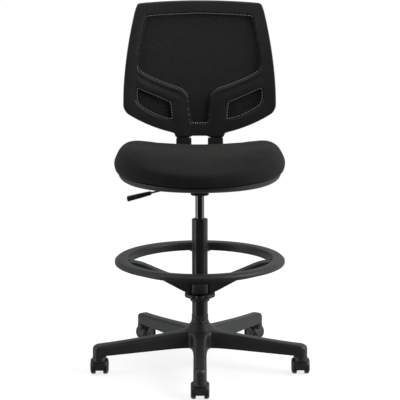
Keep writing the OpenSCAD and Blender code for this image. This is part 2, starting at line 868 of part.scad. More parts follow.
module back_screws() {
    head_y = frame_t / 2 + mesh_t + retainer_t + 2;
    color(steel)
    for (p = back_screw_at) translate([p[0], wrap_y(p[0], p[1]), p[1]]) rotate([-90, 0, 0]) {
        translate([0, 0, 1]) cylinder(r = screw_r, h = head_y);
        translate([0, 0, head_y]) cylinder(r1 = screw_head_r, r2 = screw_head_r - 1, h = 2);
    }
}

// ---------------------------------------------------------------- drawing

base_star();
column_tube();
guide_bushing();
column_foot_collar();
bearing_race();
ball_cage();
thrust_washer();
bump_stop();
rod_clip();
piston_rod();
gas_cylinder();
release_pin();
ring_collet();
foot_ring();
ring_lock();
seat_bracket();
seat_plate();
plate_bolts();
lever_pin();
lever_rod();
lever_paddle();
seat_pan();
seat_board();
seat_tnuts();
arm_inserts();
seat_cushion();
back_bar(-1);  // back_bar_left
back_bar(1);  // back_bar_right
back_bar_bolts();
bar_sleeve(-1);  // bar_sleeve_left
bar_sleeve(1);  // bar_sleeve_right
back_frame();
back_mesh();
back_retainer();
back_screws();
for (i = casters) {
    caster_hood(i);
    caster_stem(i);
    caster_axle(i);
    caster_wheel(i, -1);
    caster_wheel(i, 1);
}
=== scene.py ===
import json
import math

import bmesh
import bpy
import numpy as np
from mathutils import Matrix, Vector


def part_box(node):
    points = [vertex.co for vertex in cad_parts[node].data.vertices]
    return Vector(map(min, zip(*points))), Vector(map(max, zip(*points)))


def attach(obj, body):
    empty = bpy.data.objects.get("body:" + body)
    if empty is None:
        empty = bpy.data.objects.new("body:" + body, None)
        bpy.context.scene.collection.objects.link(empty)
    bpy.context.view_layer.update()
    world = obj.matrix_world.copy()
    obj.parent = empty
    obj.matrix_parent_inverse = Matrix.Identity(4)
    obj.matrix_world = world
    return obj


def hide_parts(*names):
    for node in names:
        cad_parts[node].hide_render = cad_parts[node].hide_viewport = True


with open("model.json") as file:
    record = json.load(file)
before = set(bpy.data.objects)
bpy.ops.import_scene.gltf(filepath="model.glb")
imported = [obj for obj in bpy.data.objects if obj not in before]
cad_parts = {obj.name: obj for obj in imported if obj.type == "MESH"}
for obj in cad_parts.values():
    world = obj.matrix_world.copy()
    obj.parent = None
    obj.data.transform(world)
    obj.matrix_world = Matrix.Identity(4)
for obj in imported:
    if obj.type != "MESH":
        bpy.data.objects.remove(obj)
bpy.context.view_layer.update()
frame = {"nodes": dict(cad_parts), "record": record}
cadNodes = frame["nodes"]
mm = 0.001
tau = 2 * math.pi
print("frame loaded:", len(cadNodes), "nodes")


# lowest and highest corner of a CAD node, in millimetres
def boxOf(node):
    return [np.array(corner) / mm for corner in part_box(node)]


# ---- shapes as whole arrays

# quads of a grid of points stored row after row
def gridFaces(rows, columns, wrapRows=False, wrapColumns=False):
    i = np.arange(rows if wrapRows else rows - 1)[:, None]
    j = np.arange(columns if wrapColumns else columns - 1)[None, :]
    below, beside = (i + 1) % rows, (j + 1) % columns
    corners = [i * columns + j, i * columns + beside, below * columns + beside, below * columns + j]
    return np.stack(np.broadcast_arrays(*corners), -1).reshape(-1, 4)


# one object from (points, faces) parts; equal points are joined and faces turned outwards
def makePiece(name, parts, body, stands=(), sharp=38, weld=1e-6):
    parts = [(p, f if isinstance(f, list) else [f]) for p, f in parts]
    starts = np.cumsum([0] + [len(p) for p, f in parts])
    faces = [g + s for (p, f), s in zip(parts, starts) for g in f if len(g)]
    points = np.concatenate([p for p, f in parts])
    sizes = np.concatenate([np.full(len(g), g.shape[1]) for g in faces])
    mesh = bpy.data.meshes.new(name)
    mesh.vertices.add(len(points))
    mesh.vertices.foreach_set("co", points.astype(np.float32).ravel())
    mesh.loops.add(int(sizes.sum()))
    mesh.loops.foreach_set("vertex_index", np.concatenate([g.ravel() for g in faces]).astype(np.int32))
    mesh.polygons.add(len(sizes))
    mesh.polygons.foreach_set("loop_start", (np.cumsum(sizes) - sizes).astype(np.int32))
    mesh.update(calc_edges=True)
    mesh.validate()
    tidyMesh(mesh, weld)
    mesh.polygons.foreach_set("use_smooth", np.ones(len(mesh.polygons), bool))
    mesh.set_sharp_from_angle(angle=math.radians(sharp))
    piece = bpy.data.objects.new(name, mesh)
    bpy.context.scene.collection.objects.link(piece)
    if body:
        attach(piece, body)
    if stands:
        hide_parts(*stands)
    return piece


def tidyMesh(mesh, weld):
    work = bmesh.new()
    work.from_mesh(mesh)
    if weld:
        bmesh.ops.remove_doubles(work, verts=work.verts, dist=weld)
        bmesh.ops.dissolve_degenerate(work, dist=weld, edges=work.edges)
    bmesh.ops.recalc_face_normals(work, faces=work.faces)
    work.to_mesh(mesh)
    work.free()


# each corner of a closed outline gives way to a parabola that starts and ends `cut` from it
def softCorners(corners, cut, steps=6):
    p = np.array(corners, float)
    cut = np.broadcast_to(np.array(cut, float), len(p))
    before, after = np.roll(p, 1, 0) - p, np.roll(p, -1, 0) - p
    long0, long1 = np.linalg.norm(before, axis=1), np.linalg.norm(after, axis=1)
    a = p + before / long0[:, None] * np.minimum(cut, 0.46 * long0)[:, None]
    b = p + after / long1[:, None] * np.minimum(cut, 0.46 * long1)[:, None]
    t = np.linspace(0, 1, steps)[None, :, None]
    curve = (1 - t) ** 2 * a[:, None] + 2 * t * (1 - t) * p[:, None] + t ** 2 * b[:, None]
    return curve.reshape(-1, p.shape[1])


# a closed outline of (radius, height) turned round Z
def turned(outline, steps=96):
    a = np.arange(steps) * tau / steps
    r, z = np.array(outline, float).T
    points = np.stack([np.outer(r, np.cos(a)), np.outer(r, np.sin(a)), np.outer(z, np.ones(steps))], -1)
    return points.reshape(-1, 3), gridFaces(len(r), steps, True, True)


# the same with a radius that changes round the turn: an array of radius by step, and a height for each row
def turnedBy(radius, height):
    a = np.arange(radius.shape[1]) * tau / radius.shape[1]
    tall = np.broadcast_to(height[:, None], radius.shape)
    points = np.stack([radius * np.cos(a), radius * np.sin(a), tall], -1)
    return points.reshape(-1, 3), gridFaces(*radius.shape, True, True)


# rings of points joined one to the next, each end closed with a fan from its middle
def lofted(rings):
    rows, columns = rings.shape[:2]
    points = np.concatenate([rings.reshape(-1, 3), rings[0].mean(0)[None], rings[-1].mean(0)[None]])
    j = np.arange(columns)
    beside, last = (j + 1) % columns, (rows - 1) * columns
    first = np.stack([beside, j, np.full(columns, rows * columns)], -1)
    end = np.stack([last + j, last + beside, np.full(columns, rows * columns + 1)], -1)
    return points, [gridFaces(rows, columns, False, True), first, end]


# superellipse round a centre: x = a cos^(2/n), y = b sin^(2/n)
def squircle(a, b, n, steps):
    angle = np.arange(steps) * tau / steps
    c, s = np.cos(angle), np.sin(angle)
    return np.stack([a * np.sign(c) * np.abs(c) ** (2 / n), b * np.sign(s) * np.abs(s) ** (2 / n)], -1)


# smooth maximum: half the sum plus half the root of the squared difference and the squared width
def smoothMax(a, b, width):
    return (a + b + np.sqrt((a - b) ** 2 + width ** 2)) / 2


# distance to the nearest edge of closed outlines, above 0 inside the first and outside the others
def outlineField(outlines):
    loops = [np.array(o, float) for o in outlines]

    def field(points):
        result = np.full(len(points), 1e9)
        for k, a in enumerate(loops):
            b = np.roll(a, -1, 0)
            edge = b - a
            for s in range(0, len(points), 3000):
                p = points[s:s + 3000, None]
                t = np.clip(((p - a) * edge).sum(-1) / (edge ** 2).sum(-1), 0, 1)
                gap = np.sqrt(((p - a - t[..., None] * edge) ** 2).sum(-1).min(1))
                level = (a[:, 1] > p[..., 1]) != (b[:, 1] > p[..., 1])
                rise = np.where(edge[:, 1] == 0, 1e-12, edge[:, 1])
                crossed = level & (p[..., 0] < a[:, 0] + edge[:, 0] * (p[..., 1] - a[:, 1]) / rise)
                inside = crossed.sum(1) % 2 == 1
                signed = np.where(inside == (k == 0), gap, -gap)
                result[s:s + 3000] = np.minimum(result[s:s + 3000], signed)
        return result
    return field


# a flat grid cut to where a field is above 0: points near the edge slide onto it along the
# field's slope, and a cell that loses one corner becomes a triangle
def cutGrid(field, low, high, cell):
    xs, ys = np.arange(low[0], high[0] + cell, cell), np.arange(low[1], high[1] + cell, cell)
    flat = np.stack(np.meshgrid(xs, ys), -1).reshape(-1, 2)
    depth = field(flat)
    close = np.abs(depth) < 1.5 * cell
    step = 1e-6
    p, d = flat[close], depth[close]
    slope = np.stack([field(p + [step, 0]) - d, field(p + [0, step]) - d], -1) / step
    steep = np.maximum((slope ** 2).sum(-1), 0.05)
    onEdge = np.zeros(len(flat), bool)
    onEdge[close] = np.abs(d) / np.sqrt(steep) < 0.51 * cell
    flat[close] -= np.where(onEdge[close], d / steep, 0)[:, None] * slope
    kept = (depth > 0) | onEdge
    depth = np.where(onEdge, 0, depth)
    quads = gridFaces(len(ys), len(xs))
    held = kept[quads]
    full = held.all(1)
    doubtful = full & onEdge[quads].all(1)
    full[doubtful] = field(flat[quads[doubtful]].mean(1)) > 0
    three = held.sum(1) == 3
    triangles = quads[three][held[three]].reshape(-1, 3)
    faces = [quads[full], triangles]
    used = np.unique(np.concatenate([f.ravel() for f in faces]))
    renumber = np.full(len(flat), -1)
    renumber[used] = np.arange(len(used))
    return flat[used], depth[used], [renumber[f] for f in faces]


# a closed flat loop of points split into triangles
def trianglesOf(loop):
    work = bmesh.new()
    work.faces.new([work.verts.new(p) for p in loop])
    bmesh.ops.triangulate(work, faces=work.faces, ngon_method="EAR_CLIP")
    work.verts.index_update()
    triangles = np.array([[v.index for v in f.verts] for f in work.faces])
    work.free()
    return triangles


# two sheets over one cut grid, with a wall between their rims
def slab(upper, lower, faces, rows=1):
    count = len(upper)
    edges = np.concatenate([np.stack([f, np.roll(f, -1, 1)], -1).reshape(-1, 2) for f in faces])
    rim = edges[~np.isin(edges[:, 0] * count + edges[:, 1], edges[:, 1] * count + edges[:, 0])]
    parts = [(upper, faces), (lower, [f[:, ::-1] for f in faces])]
    t = np.arange(rows + 1)[:, None, None] / rows
    wall = upper[rim.ravel()] * (1 - t) + lower[rim.ravel()] * t
    n = len(rim) * 2
    start = np.arange(0, n, 2)[None] + n * np.arange(rows)[:, None]
    quads = np.stack([start + 1, start, start + n, start + n + 1], -1).reshape(-1, 4)
    return parts + [(wall.reshape(-1, 3), quads)]


def smoothStep(t):
    t = np.clip(t, 0, 1)
    return t * t * (3 - 2 * t)


# how far an edge falls away: 0 inside, `fall` at the edge, along a quarter of a superellipse
def edgeFall(depth, reach, fall, power=2.0):
    t = 1 - np.clip(depth / reach, 0, 1)
    return fall * (1 - (1 - t ** power) ** (1 / power))


# ---- materials

class Wire:  # one socket of a material; sums and products on it add Math nodes
    def __init__(self, finish, socket):
        self.finish, self.socket = finish, socket

    def maths(self, operation, first, second=0.0):
        return self.finish.add("ShaderNodeMath", {"operation": operation}, {0: first, 1: second})

    def __add__(self, other):
        return self.maths("ADD", self, other)

    def __radd__(self, other):
        return self.maths("ADD", other, self)

    def __sub__(self, other):
        return self.maths("SUBTRACT", self, other)

    def __rsub__(self, other):
        return self.maths("SUBTRACT", other, self)

    def __mul__(self, other):
        return self.maths("MULTIPLY", self, other)

    def __rmul__(self, other):
        return self.maths("MULTIPLY", other, self)

    def __pow__(self, other):
        return self.maths("POWER", self, other)

    def sine(self):
        return self.maths("SINE", self)

    def size(self):
        return self.maths("ABSOLUTE", self)

    def most(self, other):
        return self.maths("MAXIMUM", self, other)

    def between(self, low, high):  # 0 below low, 1 above high, smooth between
        return self.finish.add("ShaderNodeMapRange", {"interpolation_type": "SMOOTHSTEP"},
                               {"Value": self, "From Min": low, "From Max": high})

    def out(self, name):
        return Wire(self.finish, self.socket.node.outputs[name])


class Finish:  # one material; add() takes a node's type, its settings and its sockets
    def __init__(self, name, owner=None):
        self.material = owner or bpy.data.materials.new(name)
        self.material.use_nodes = True
        self.tree = self.material.node_tree
        self.tree.nodes.clear()

    def add(self, kind, settings=None, sockets=None):
        node = self.tree.nodes.new(kind)
        for key, value in (settings or {}).items():
            setattr(node, key, value)
        for key, value in (sockets or {}).items():
            if isinstance(value, Wire):
                self.tree.links.new(value.socket, node.inputs[key])
            else:
                node.inputs[key].default_value = value
        return Wire(self, node.outputs[0]) if len(node.outputs) else None

    def place(self):
        return self.add("ShaderNodeTexCoord").out("Object")

    def axes(self, vector):
        split = self.add("ShaderNodeSeparateXYZ", sockets={0: vector})
        return split.out("X"), split.out("Y"), split.out("Z")

    def noise(self, vector, scale, detail=3.0, rough=0.55):
        sockets = {"Vector": vector, "Scale": scale, "Detail": detail, "Roughness": rough}
        return self.add("ShaderNodeTexNoise", sockets=sockets)

    def stretched(self, vector, scale):
        return self.add("ShaderNodeMapping", sockets={"Vector": vector, "Scale": scale})

    def mixed(self, share, first, second):
        first, second = [(*c, 1.0) if isinstance(c, tuple) and len(c) == 3 else c for c in (first, second)]
        mix = self.add("ShaderNodeMix", {"data_type": "RGBA"}, {0: share, 6: first, 7: second})
        return Wire(self, mix.socket.node.outputs[2])

    def bump(self, height, depth, strength=1.0):
        return self.add("ShaderNodeBump", sockets={"Height": height, "Distance": depth, "Strength": strength})

    def surface(self, **sockets):
        named = {key.replace("_", " "): value for key, value in sockets.items()}
        shader = self.add("ShaderNodeBsdfPrincipled", sockets=named)
        self.add("ShaderNodeOutputMaterial", sockets={"Surface": shader})
        return self.material


# moulded plastic: colour drifts with broad noise, a fine grain stands in the bump and roughness,
# and scuffs are thin stretched noise above a threshold
def mouldedPlastic(name, look):
    f = Finish(name)
    here = f.place()
    broad, grain = f.noise(here, look["drift"], 3), f.noise(here, look["grain"], 2, 0.6)
    scuff = f.noise(f.stretched(here, (1, 1, 0.18)), 90, 6, 0.7).between(0.66, 0.8) * look["scuff"]
    colour = f.mixed(broad, look["colour"], look["pale"])
    colour = f.mixed(scuff, colour, look["scuffColour"])
    rough = look["rough"] + (broad - 0.5) * look["swing"] + (grain - 0.5) * 0.12 + scuff * 0.1
    return f.surface(Base_Color=colour, Roughness=rough, Specular_IOR_Level=look["gloss"],
                     Normal=f.bump(grain, look["grainDepth"], look["grainStrength"]))


plasticLook = {"colour": (0.0105, 0.0105, 0.0103), "pale": (0.016, 0.016, 0.0155),
               "drift": 9.0, "grain": 1400.0, "grainDepth": 0.00012, "grainStrength": 0.5,
               "rough": 0.42, "swing": 0.12, "gloss": 0.42,
               "scuff": 0.15, "scuffColour": (0.035, 0.035, 0.034)}
finishes = {
    "base_nylon": mouldedPlastic("baseNylon", {**plasticLook, "colour": (0.0142, 0.014, 0.0134),
                                               "pale": (0.0205, 0.0202, 0.0195), "rough": 0.38}),
    "wheel_nylon": mouldedPlastic("wheelNylon", {**plasticLook, "colour": (0.0135, 0.0133, 0.0128),
                                                 "rough": 0.34, "grain": 500.0, "scuff": 0.6}),
    "ring_nylon": mouldedPlastic("ringNylon", {**plasticLook, "rough": 0.4, "scuff": 0.5}),
    "frame_plastic": mouldedPlastic("framePlastic", {**plasticLook, "rough": 0.4, "grain": 1100.0}),
    "pan_plastic": mouldedPlastic("panPlastic", {**plasticLook, "rough": 0.45, "grain": 800.0,
                                                 "grainStrength": 0.8}),
    "lever_plastic": mouldedPlastic("leverPlastic", {**plasticLook, "rough": 0.35, "scuff": 0.4}),
}


# powder coat: orange-peel bump of two noises on a dark coat
def powderCoat(name, colour, rough):
    f = Finish(name)
    here = f.place()
    peel, broad = f.noise(here, 650, 2), f.noise(here, 14, 3)
    return f.surface(Base_Color=f.mixed(broad, colour, tuple(c * 1.5 for c in colour)),
                     Roughness=rough + (broad - 0.5) * 0.1 + (peel - 0.5) * 0.08, Metallic=0.0,
                     Specular_IOR_Level=0.5, Normal=f.bump(peel, 0.00015, 0.35))


# plated steel: brushed along Z by noise squeezed in height, roughness follows the streaks
def platedSteel(name, colour, rough, streak=0.1, squeeze=(900, 900, 12), strength=0.15):
    f = Finish(name)
    lines = f.noise(f.stretched(f.place(), squeeze), 1.0, 3)
    tint = f.mixed(lines, tuple(c * 0.86 for c in colour), colour)
    return f.surface(Base_Color=tint, Roughness=rough + (lines - 0.5) * streak, Metallic=1.0,
                     Normal=f.bump(lines, 0.00004, strength))


finishes["column_paint"] = powderCoat("columnPaint", (0.0082, 0.0081, 0.008), 0.24)
finishes["bracket_paint"] = powderCoat("bracketPaint", (0.008, 0.008, 0.008), 0.4)
finishes["cylinder_chrome"] = platedSteel("blackChrome", (0.165, 0.165, 0.168), 0.1, 0.04,
                                         (500, 500, 6), 0.04)
finishes["steel"] = platedSteel("zincSteel", (0.58, 0.59, 0.6), 0.34, 0.16)


def bumperRubber(name):
    f = Finish(name)
    dust = f.noise(f.place(), 120, 4)
    return f.surface(Base_Color=f.mixed(dust, (0.012, 0.012, 0.012), (0.028, 0.027, 0.026)),
                     Roughness=0.75 + (dust - 0.5) * 0.2, Normal=f.bump(dust, 0.0002, 0.3))


# plywood: plies by a sine of height, grain by noise stretched along X
def plywood(name):
    f = Finish(name)
    here = f.place()
    x, y, z = f.axes(here)
    plies = (z * (tau / 0.0031)).sine().between(-0.4, 0.4)
    grain = f.noise(f.stretched(here, (6, 90, 90)), 1.0, 6)
    pale = f.mixed(grain, (0.42, 0.27, 0.14), (0.62, 0.45, 0.26))
    return f.surface(Base_Color=f.mixed(plies * 0.45, pale, (0.24, 0.14, 0.07)),
                     Roughness=0.62 + grain * 0.15, Normal=f.bump(grain, 0.0002, 0.3))


finishes["bumper_rubber"] = bumperRubber("bumperRubber")
finishes["plywood"] = plywood("plywood")


# close-woven upholstery: warp and weft as crossed sines on the cloth's own plan, broken up by noise;
# nap lightens the cloth where broad noise is high
def seatFabric(name):
    f = Finish(name)
    here = f.place()
    x, y, z = f.axes(here)
    warp, weft = (x * (tau / 0.0016)).sine(), ((y - z) * (tau / 0.0016)).sine()
    slub, nap = f.noise(here, 420, 4, 0.7), f.noise(here, 11, 4)
    weave = (warp * weft + 1) * 0.35 + slub * 0.6
    colour = f.mixed(nap.between(0.3, 0.75), (0.0032, 0.003, 0.0027), (0.0062, 0.0059, 0.0052))
    colour = f.mixed(weave.between(0.75, 1.2) * 0.6, colour, (0.0125, 0.012, 0.0108))
    return f.surface(Base_Color=colour, Roughness=0.8 + (slub - 0.5) * 0.2, Specular_IOR_Level=0.22,
                     Sheen_Weight=0.03, Sheen_Roughness=0.4, Sheen_Tint=(0.9, 0.88, 0.8, 1.0),
                     Normal=f.bump(weave, 0.0003, 0.6))


finishes["seat_fabric"] = seatFabric("seatFabric")


# open knit: holes on a staggered lattice where the product of two cosines peaks, painted lighter grey over that
# lattice as light showing through the holes, threads as finer crossed sines, and a row of wider gaps along the
# openings from the piece's own edge attributes, opened more along level edges as painted light from above
meshLook = {"pitch": 0.0064, "threads": 0.0016, "hole": 0.55, "open": 0.05,
            "rimGap": 0.0022, "rimPitch": 0.0085, "rimOpen": 0.5}


def meshFabric(name, look):
    f = Finish(name)
    here = f.place()
    x, y, z = f.axes(here)
    quarter = tau / 4
    lattice = (x * (tau / look["pitch"]) + quarter).sine() * (z * (tau / look["pitch"]) + quarter).sine()
    thread = (x * (tau / look["threads"])).sine() * (z * (tau / look["threads"])).sine()
    slub = f.noise(here, 300, 3)
    hole = (lattice + (slub - 0.5) * 0.06).between(look["hole"], look["hole"] + 0.3)
    edge = f.add("ShaderNodeAttribute", {"attribute_name": "edgeGap"}).out("Fac")
    run = f.add("ShaderNodeAttribute", {"attribute_name": "edgeRun"}).out("Fac")
    # painted light: this mask opens the rim gaps wider along level edges, standing in for light from above showing
    # through
    litShow = f.add("ShaderNodeAttribute", {"attribute_name": "edgeLitShow"}).out("Fac")
    beside = 1 - (edge - look["rimGap"]).size().between(0.0007, 0.0018)
    rim = beside * (run * (tau / look["rimPitch"])).sine().between(-0.2, 0.6)
    openShare = (hole * look["open"]).most(rim * litShow * look["rimOpen"])
    colour = f.mixed(thread.between(-0.2, 0.9), (0.0022, 0.0019, 0.002), (0.0048, 0.0043, 0.0045))
    # painted light: the lighter grey over the hole lattice stands in for backdrop light showing through the knit's
    # holes
    colour = f.mixed(lattice.between(0.0, 0.7), colour, (0.042, 0.038, 0.039))
    return f.surface(Base_Color=colour, Roughness=0.7 + (slub - 0.5) * 0.2, Specular_IOR_Level=0.2,
                     Alpha=1 - openShare, Normal=f.bump(thread + lattice, 0.0003, 0.5))


finishes["mesh_fabric"] = meshFabric("meshFabric", meshLook)


def dress(piece, slotName):
    piece.data.materials.clear()
    piece.data.materials.append(finishes[slotName])


for part in frame["record"]["subparts"]:  # every carried-over node takes its own finish
    node = cadNodes[part["node"]]
    node.data.materials.clear()
    node.data.materials.append(finishes[part["material_slot"]])
print("finishes made:", len(finishes))


# ---- base and casters

baseLook = {"reach": 328 * mm, "legHalf": 19.6 * mm, "hub": 49 * mm, "bore": 25.12 * mm, "fillet": 7 * mm,
            "edge": 8.5 * mm, "wall": 4 * mm, "cell": 2.4 * mm,
            "rootTop": 118.2 * mm, "tipTop": 95.8 * mm, "rootLow": 65.2 * mm,
            "tipLow": 62.8 * mm, "boss": 60.2 * mm, "tipDrop": 11 * mm, "ribs": 4, "rib": 3 * mm,
            "hubDome": [(0, 140.8), (27.6, 140.8), (29, 139.5), (33, 134), (38, 128.5), (44, 121), (49, 113),
                        (60, 92)]}


# along and across the nearest of five legs, the first towards -Y
def legPlace(flat):
    angle = np.arctan2(flat[:, 1], flat[:, 0]) + tau / 4
    off = (angle + tau / 10) % (tau / 5) - tau / 10
    r = np.hypot(flat[:, 0], flat[:, 1])
    return r * np.cos(off), r * np.sin(off), r


# distance inside a leg, a line thickened to its half width, or inside the hub, blended by a smooth maximum
def starField(flat):
    b = baseLook
    angle = np.arctan2(flat[:, 1], flat[:, 0])[:, None]
    r = np.hypot(flat[:, 0], flat[:, 1])[:, None]
    off = angle + tau / 4 - np.arange(5) * tau / 5
    u, v = r * np.cos(off), r * np.sin(off)
    half = b["legHalf"] + 6 * mm * np.exp(-np.abs(u - 50 * mm) / (28 * mm))
    legs = half - np.hypot(v, np.maximum(0, np.maximum(u - b["reach"], -u)))
    star = b["hub"] - r[:, 0]
    for k in range(5):
        star = smoothMax(star, legs[:, k], b["fillet"])
    return star - 0.3 * mm


def buildBase():
    b = baseLook
    flat, depth, faces = cutGrid(lambda p: np.minimum(starField(p), np.hypot(p[:, 0], p[:, 1]) - b["bore"]),
                                 (-0.35, -0.35), (0.35, 0.35), b["cell"])
    u, v, r = legPlace(flat)
    star = np.maximum(starField(flat), 0)
    t = np.clip((u - 0.038) / (b["reach"] - 0.038), 0, 1)
    legTop = b["tipTop"] + (b["rootTop"] - b["tipTop"]) * (1 - t) ** 1.3
    legTop = legTop - b["tipDrop"] * np.clip((u - b["reach"] + 4 * mm) / (23 * mm), 0, 1) ** 2
    low = b["rootLow"] + (b["tipLow"] - b["rootLow"]) * t
    fromTip = np.hypot(u - b["reach"], v)
    low = low + (b["boss"] - low) * smoothStep((23 * mm - fromTip) / (3 * mm))
    dome = np.interp(r, *np.array(b["hubDome"]).T * mm)
    crown = 1.2 * mm * np.clip(v / b["legHalf"], -1, 1) ** 2
    top = smoothMax(legTop - crown, dome, 4 * mm)
    top = np.minimum(top, 140.8 * mm) - edgeFall(star, b["edge"], b["edge"], 2.1)
    hollow = (star > b["wall"] + 1.2 * mm) & (r > 47 * mm) & (fromTip > 11 * mm)
    pitch = (b["reach"] - 60 * mm) / (b["ribs"] + 1)
    hollow &= np.abs((u - 47 * mm + pitch / 2) % pitch - pitch / 2) > b["rib"]
    under = np.where(hollow, top - b["wall"], low)
    under = np.where(r < 50 * mm, np.minimum(under, 66 * mm), under)
    upper, lower = np.column_stack([flat, top]), np.column_stack([flat, under])
    piece = makePiece("baseStar", slab(upper, lower, faces, 3), "base", ["base_star"], 50)
    dress(piece, "base_nylon")


buildBase()


# the collar round the tube's foot: eight fingers, each with a thicker foot
def buildCollar():
    low, high = boxOf("column_foot_collar")
    steps = 288
    a = np.arange(steps) * tau / steps
    finger = 1 - smoothStep((np.abs((a * 8 / tau + 0.5) % 1 - 0.5) - 0.31) / 0.05)
    inner, foot, body = 25.1, 27.9, 26.3
    bottom, top = low[2], high[2]
    outline = [(inner, bottom + 0.1, 0), (foot, bottom + 0.1, 1), (foot, bottom + 4.2, 1),
               (body + 0.4, bottom + 5.4, 1), (body, bottom + 6.5, 1), (body, top - 2, 1),
               (body - 0.5, top - 0.2, 0.8), (inner, top - 0.2, 0)]
    r, z, share = np.array(outline).T
    rise = np.clip((z - low[2] - 1) / 3, 0, 1)[:, None]
    radius = r[:, None] - (r - inner - 0.25)[:, None] * (share[:, None] > 0) * (1 - finger) * rise
    piece = makePiece("columnFootCollar", [turnedBy(radius * mm, z * mm)], "base", ["column_foot_collar"],
                      40)
    dress(piece, "base_nylon")


buildCollar()


# the bushing in the tube's mouth: a turned sleeve with a small raised lip round the cylinder
def buildBushing():
    low = boxOf("guide_bushing")[0]
    tubeTop = boxOf("column_tube")[1][2]
    outline = softCorners([(14.35, low[2] + 0.2), (22.6, low[2] + 0.2), (22.8, tubeTop - 2),
                           (24.2, tubeTop + 0.15), (24.2, tubeTop + 1.4), (17.4, tubeTop + 1.9),
                           (16.6, tubeTop + 3.6), (14.35, tubeTop + 3.6)],
                          [0.3, 0.6, 0.3, 0.05, 0.9, 0.5, 0.9, 0.3], 4)
    piece = makePiece("guideBushing", [turned(outline * mm, 96)], "base", ["guide_bushing"], 40)
    dress(piece, "ring_nylon")


buildBushing()
print("base star made")

casterLook = {"wheel": 25 * mm, "trail": 10 * mm, "gap": 12 * mm,
              "half": 20.5, "web": 11.4, "outer": 29.5, "well": 26.7,
              "yaw": [0, 0, 45, -45, 0], "hoodArc": (-14, 194), "neckTop": 59.3}
# a wheel's section as (radius, distance from its inner face), in millimetres
wheelSection = [(4.3, 0), (22.4, 0), (24.4, 0.9), (25, 3), (25, 8.5), (24.5, 11), (23.0, 13.2), (20.8, 14.8),
                (18.6, 15.4), (17.4, 14.6), (16.4, 12.4), (14.5, 11.4), (8.4, 11.2), (7.4, 12.6), (6, 13.3),
                (0, 13.4), (0, 11.9), (4.3, 11.9)]


# a closed outline of (along the axle, radius) swung round the axle between two angles, as rings whose ends stay open
def swung(outline, arc, steps):
    x, r = np.array(outline, float).T * mm
    a = np.radians(np.linspace(arc[0], arc[1], steps))[:, None]
    rings = np.stack([np.broadcast_to(x, (steps, len(x))), -r * np.cos(a), r * np.sin(a)], -1)
    return rings


def placeCaster(points, number):
    look = casterLook
    low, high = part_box(f"caster_{number}_stem")
    yaw = math.radians(look["yaw"][number - 1])
    c, s = math.cos(yaw), math.sin(yaw)
    turn = np.array([[c, -s, 0], [s, c, 0], [0, 0, 1]])
    return points @ turn.T + np.array([(low.x + high.x) / 2, (low.y + high.y) / 2, 0])


# the mudguard's half width narrows towards its front and rear lips, like a tongue
def tongueHalf(angle):
    near = np.clip((30 - np.minimum(angle, 180 - angle)) / 46, 0, 1)
    return casterLook["half"] - (casterLook["half"] - 12.2) * near ** 2.2


def buildCasters():
    look = casterLook
    half, web, outer, well = look["half"], look["web"], look["outer"], look["well"]
    shell = softCorners([(half, well), (half, outer), (-half, outer), (-half, well),
                         (-web, well), (-web, 0), (web, 0), (web, well)],
                        [0.7, 2.6, 2.6, 0.7, 1, 0.01, 0.01, 1], 6)
    turns = 44
    rings = swung(shell, look["hoodArc"], turns)
    limit = tongueHalf(np.linspace(look["hoodArc"][0], look["hoodArc"][1], turns))[:, None] * mm
    rings[..., 0] = np.clip(rings[..., 0], -limit, limit)
    rings += [0, look["trail"], look["wheel"]]
    neckTop = look["neckTop"]
    neckOutline = softCorners(np.array([(0, 38), (half - 0.4, 44), (half - 0.4, neckTop), (0, neckTop)]) * mm,
                              np.array([0.01, 3, 1.6, 0.01]) * mm, 5)
    neck = turned(neckOutline, 56)
    boss = turned(np.array([(0, -11.3), (8.5, -11.3), (8.5, 11.3), (0, 11.3)]) * mm, 40)
    wheel = softCorners(np.array(wheelSection), 0.6, 3)
    centre = np.array([0, look["trail"], look["wheel"]])
    for number in range(1, 6):
        rider = f"caster_{number}"
        hood = [(placeCaster(rings.reshape(-1, 3), number), gridFaces(turns, len(shell), False, True)),
                (placeCaster(neck[0], number), neck[1]),
                (placeCaster(boss[0][:, [2, 0, 1]] + centre, number), boss[1])] + endCaps(rings, number)
        piece = makePiece(f"casterHood{number}", hood, rider, [rider + "_hood"], 42)
        dress(piece, "base_nylon")
        for side, word in ((-1, "left"), (1, "right")):
            points, faces = turned(wheel * mm, 64)
            points = (points[:, [2, 0, 1]] + [look["gap"], 0, 0]) * [side, 1, 1] + centre
            title = f"casterWheel{number}{word.capitalize()}"
            roller = makePiece(title, [(placeCaster(points, number), faces)], f"{rider}_{word}",
                               [f"{rider}_wheel_{word}"], 32)
            dress(roller, "wheel_nylon")


# the two cut faces of a mudguard, split into triangles
def endCaps(rings, number):
    return [(placeCaster(ring, number), trianglesOf(ring)) for ring in (rings[0], rings[-1])]


buildCasters()
print("casters made")


# ---- foot ring

ringLook = {"outer": 266.5, "inner": 225.5, "spokeHalf": 23.0, "hub": 33.3, "bore": 27.42}


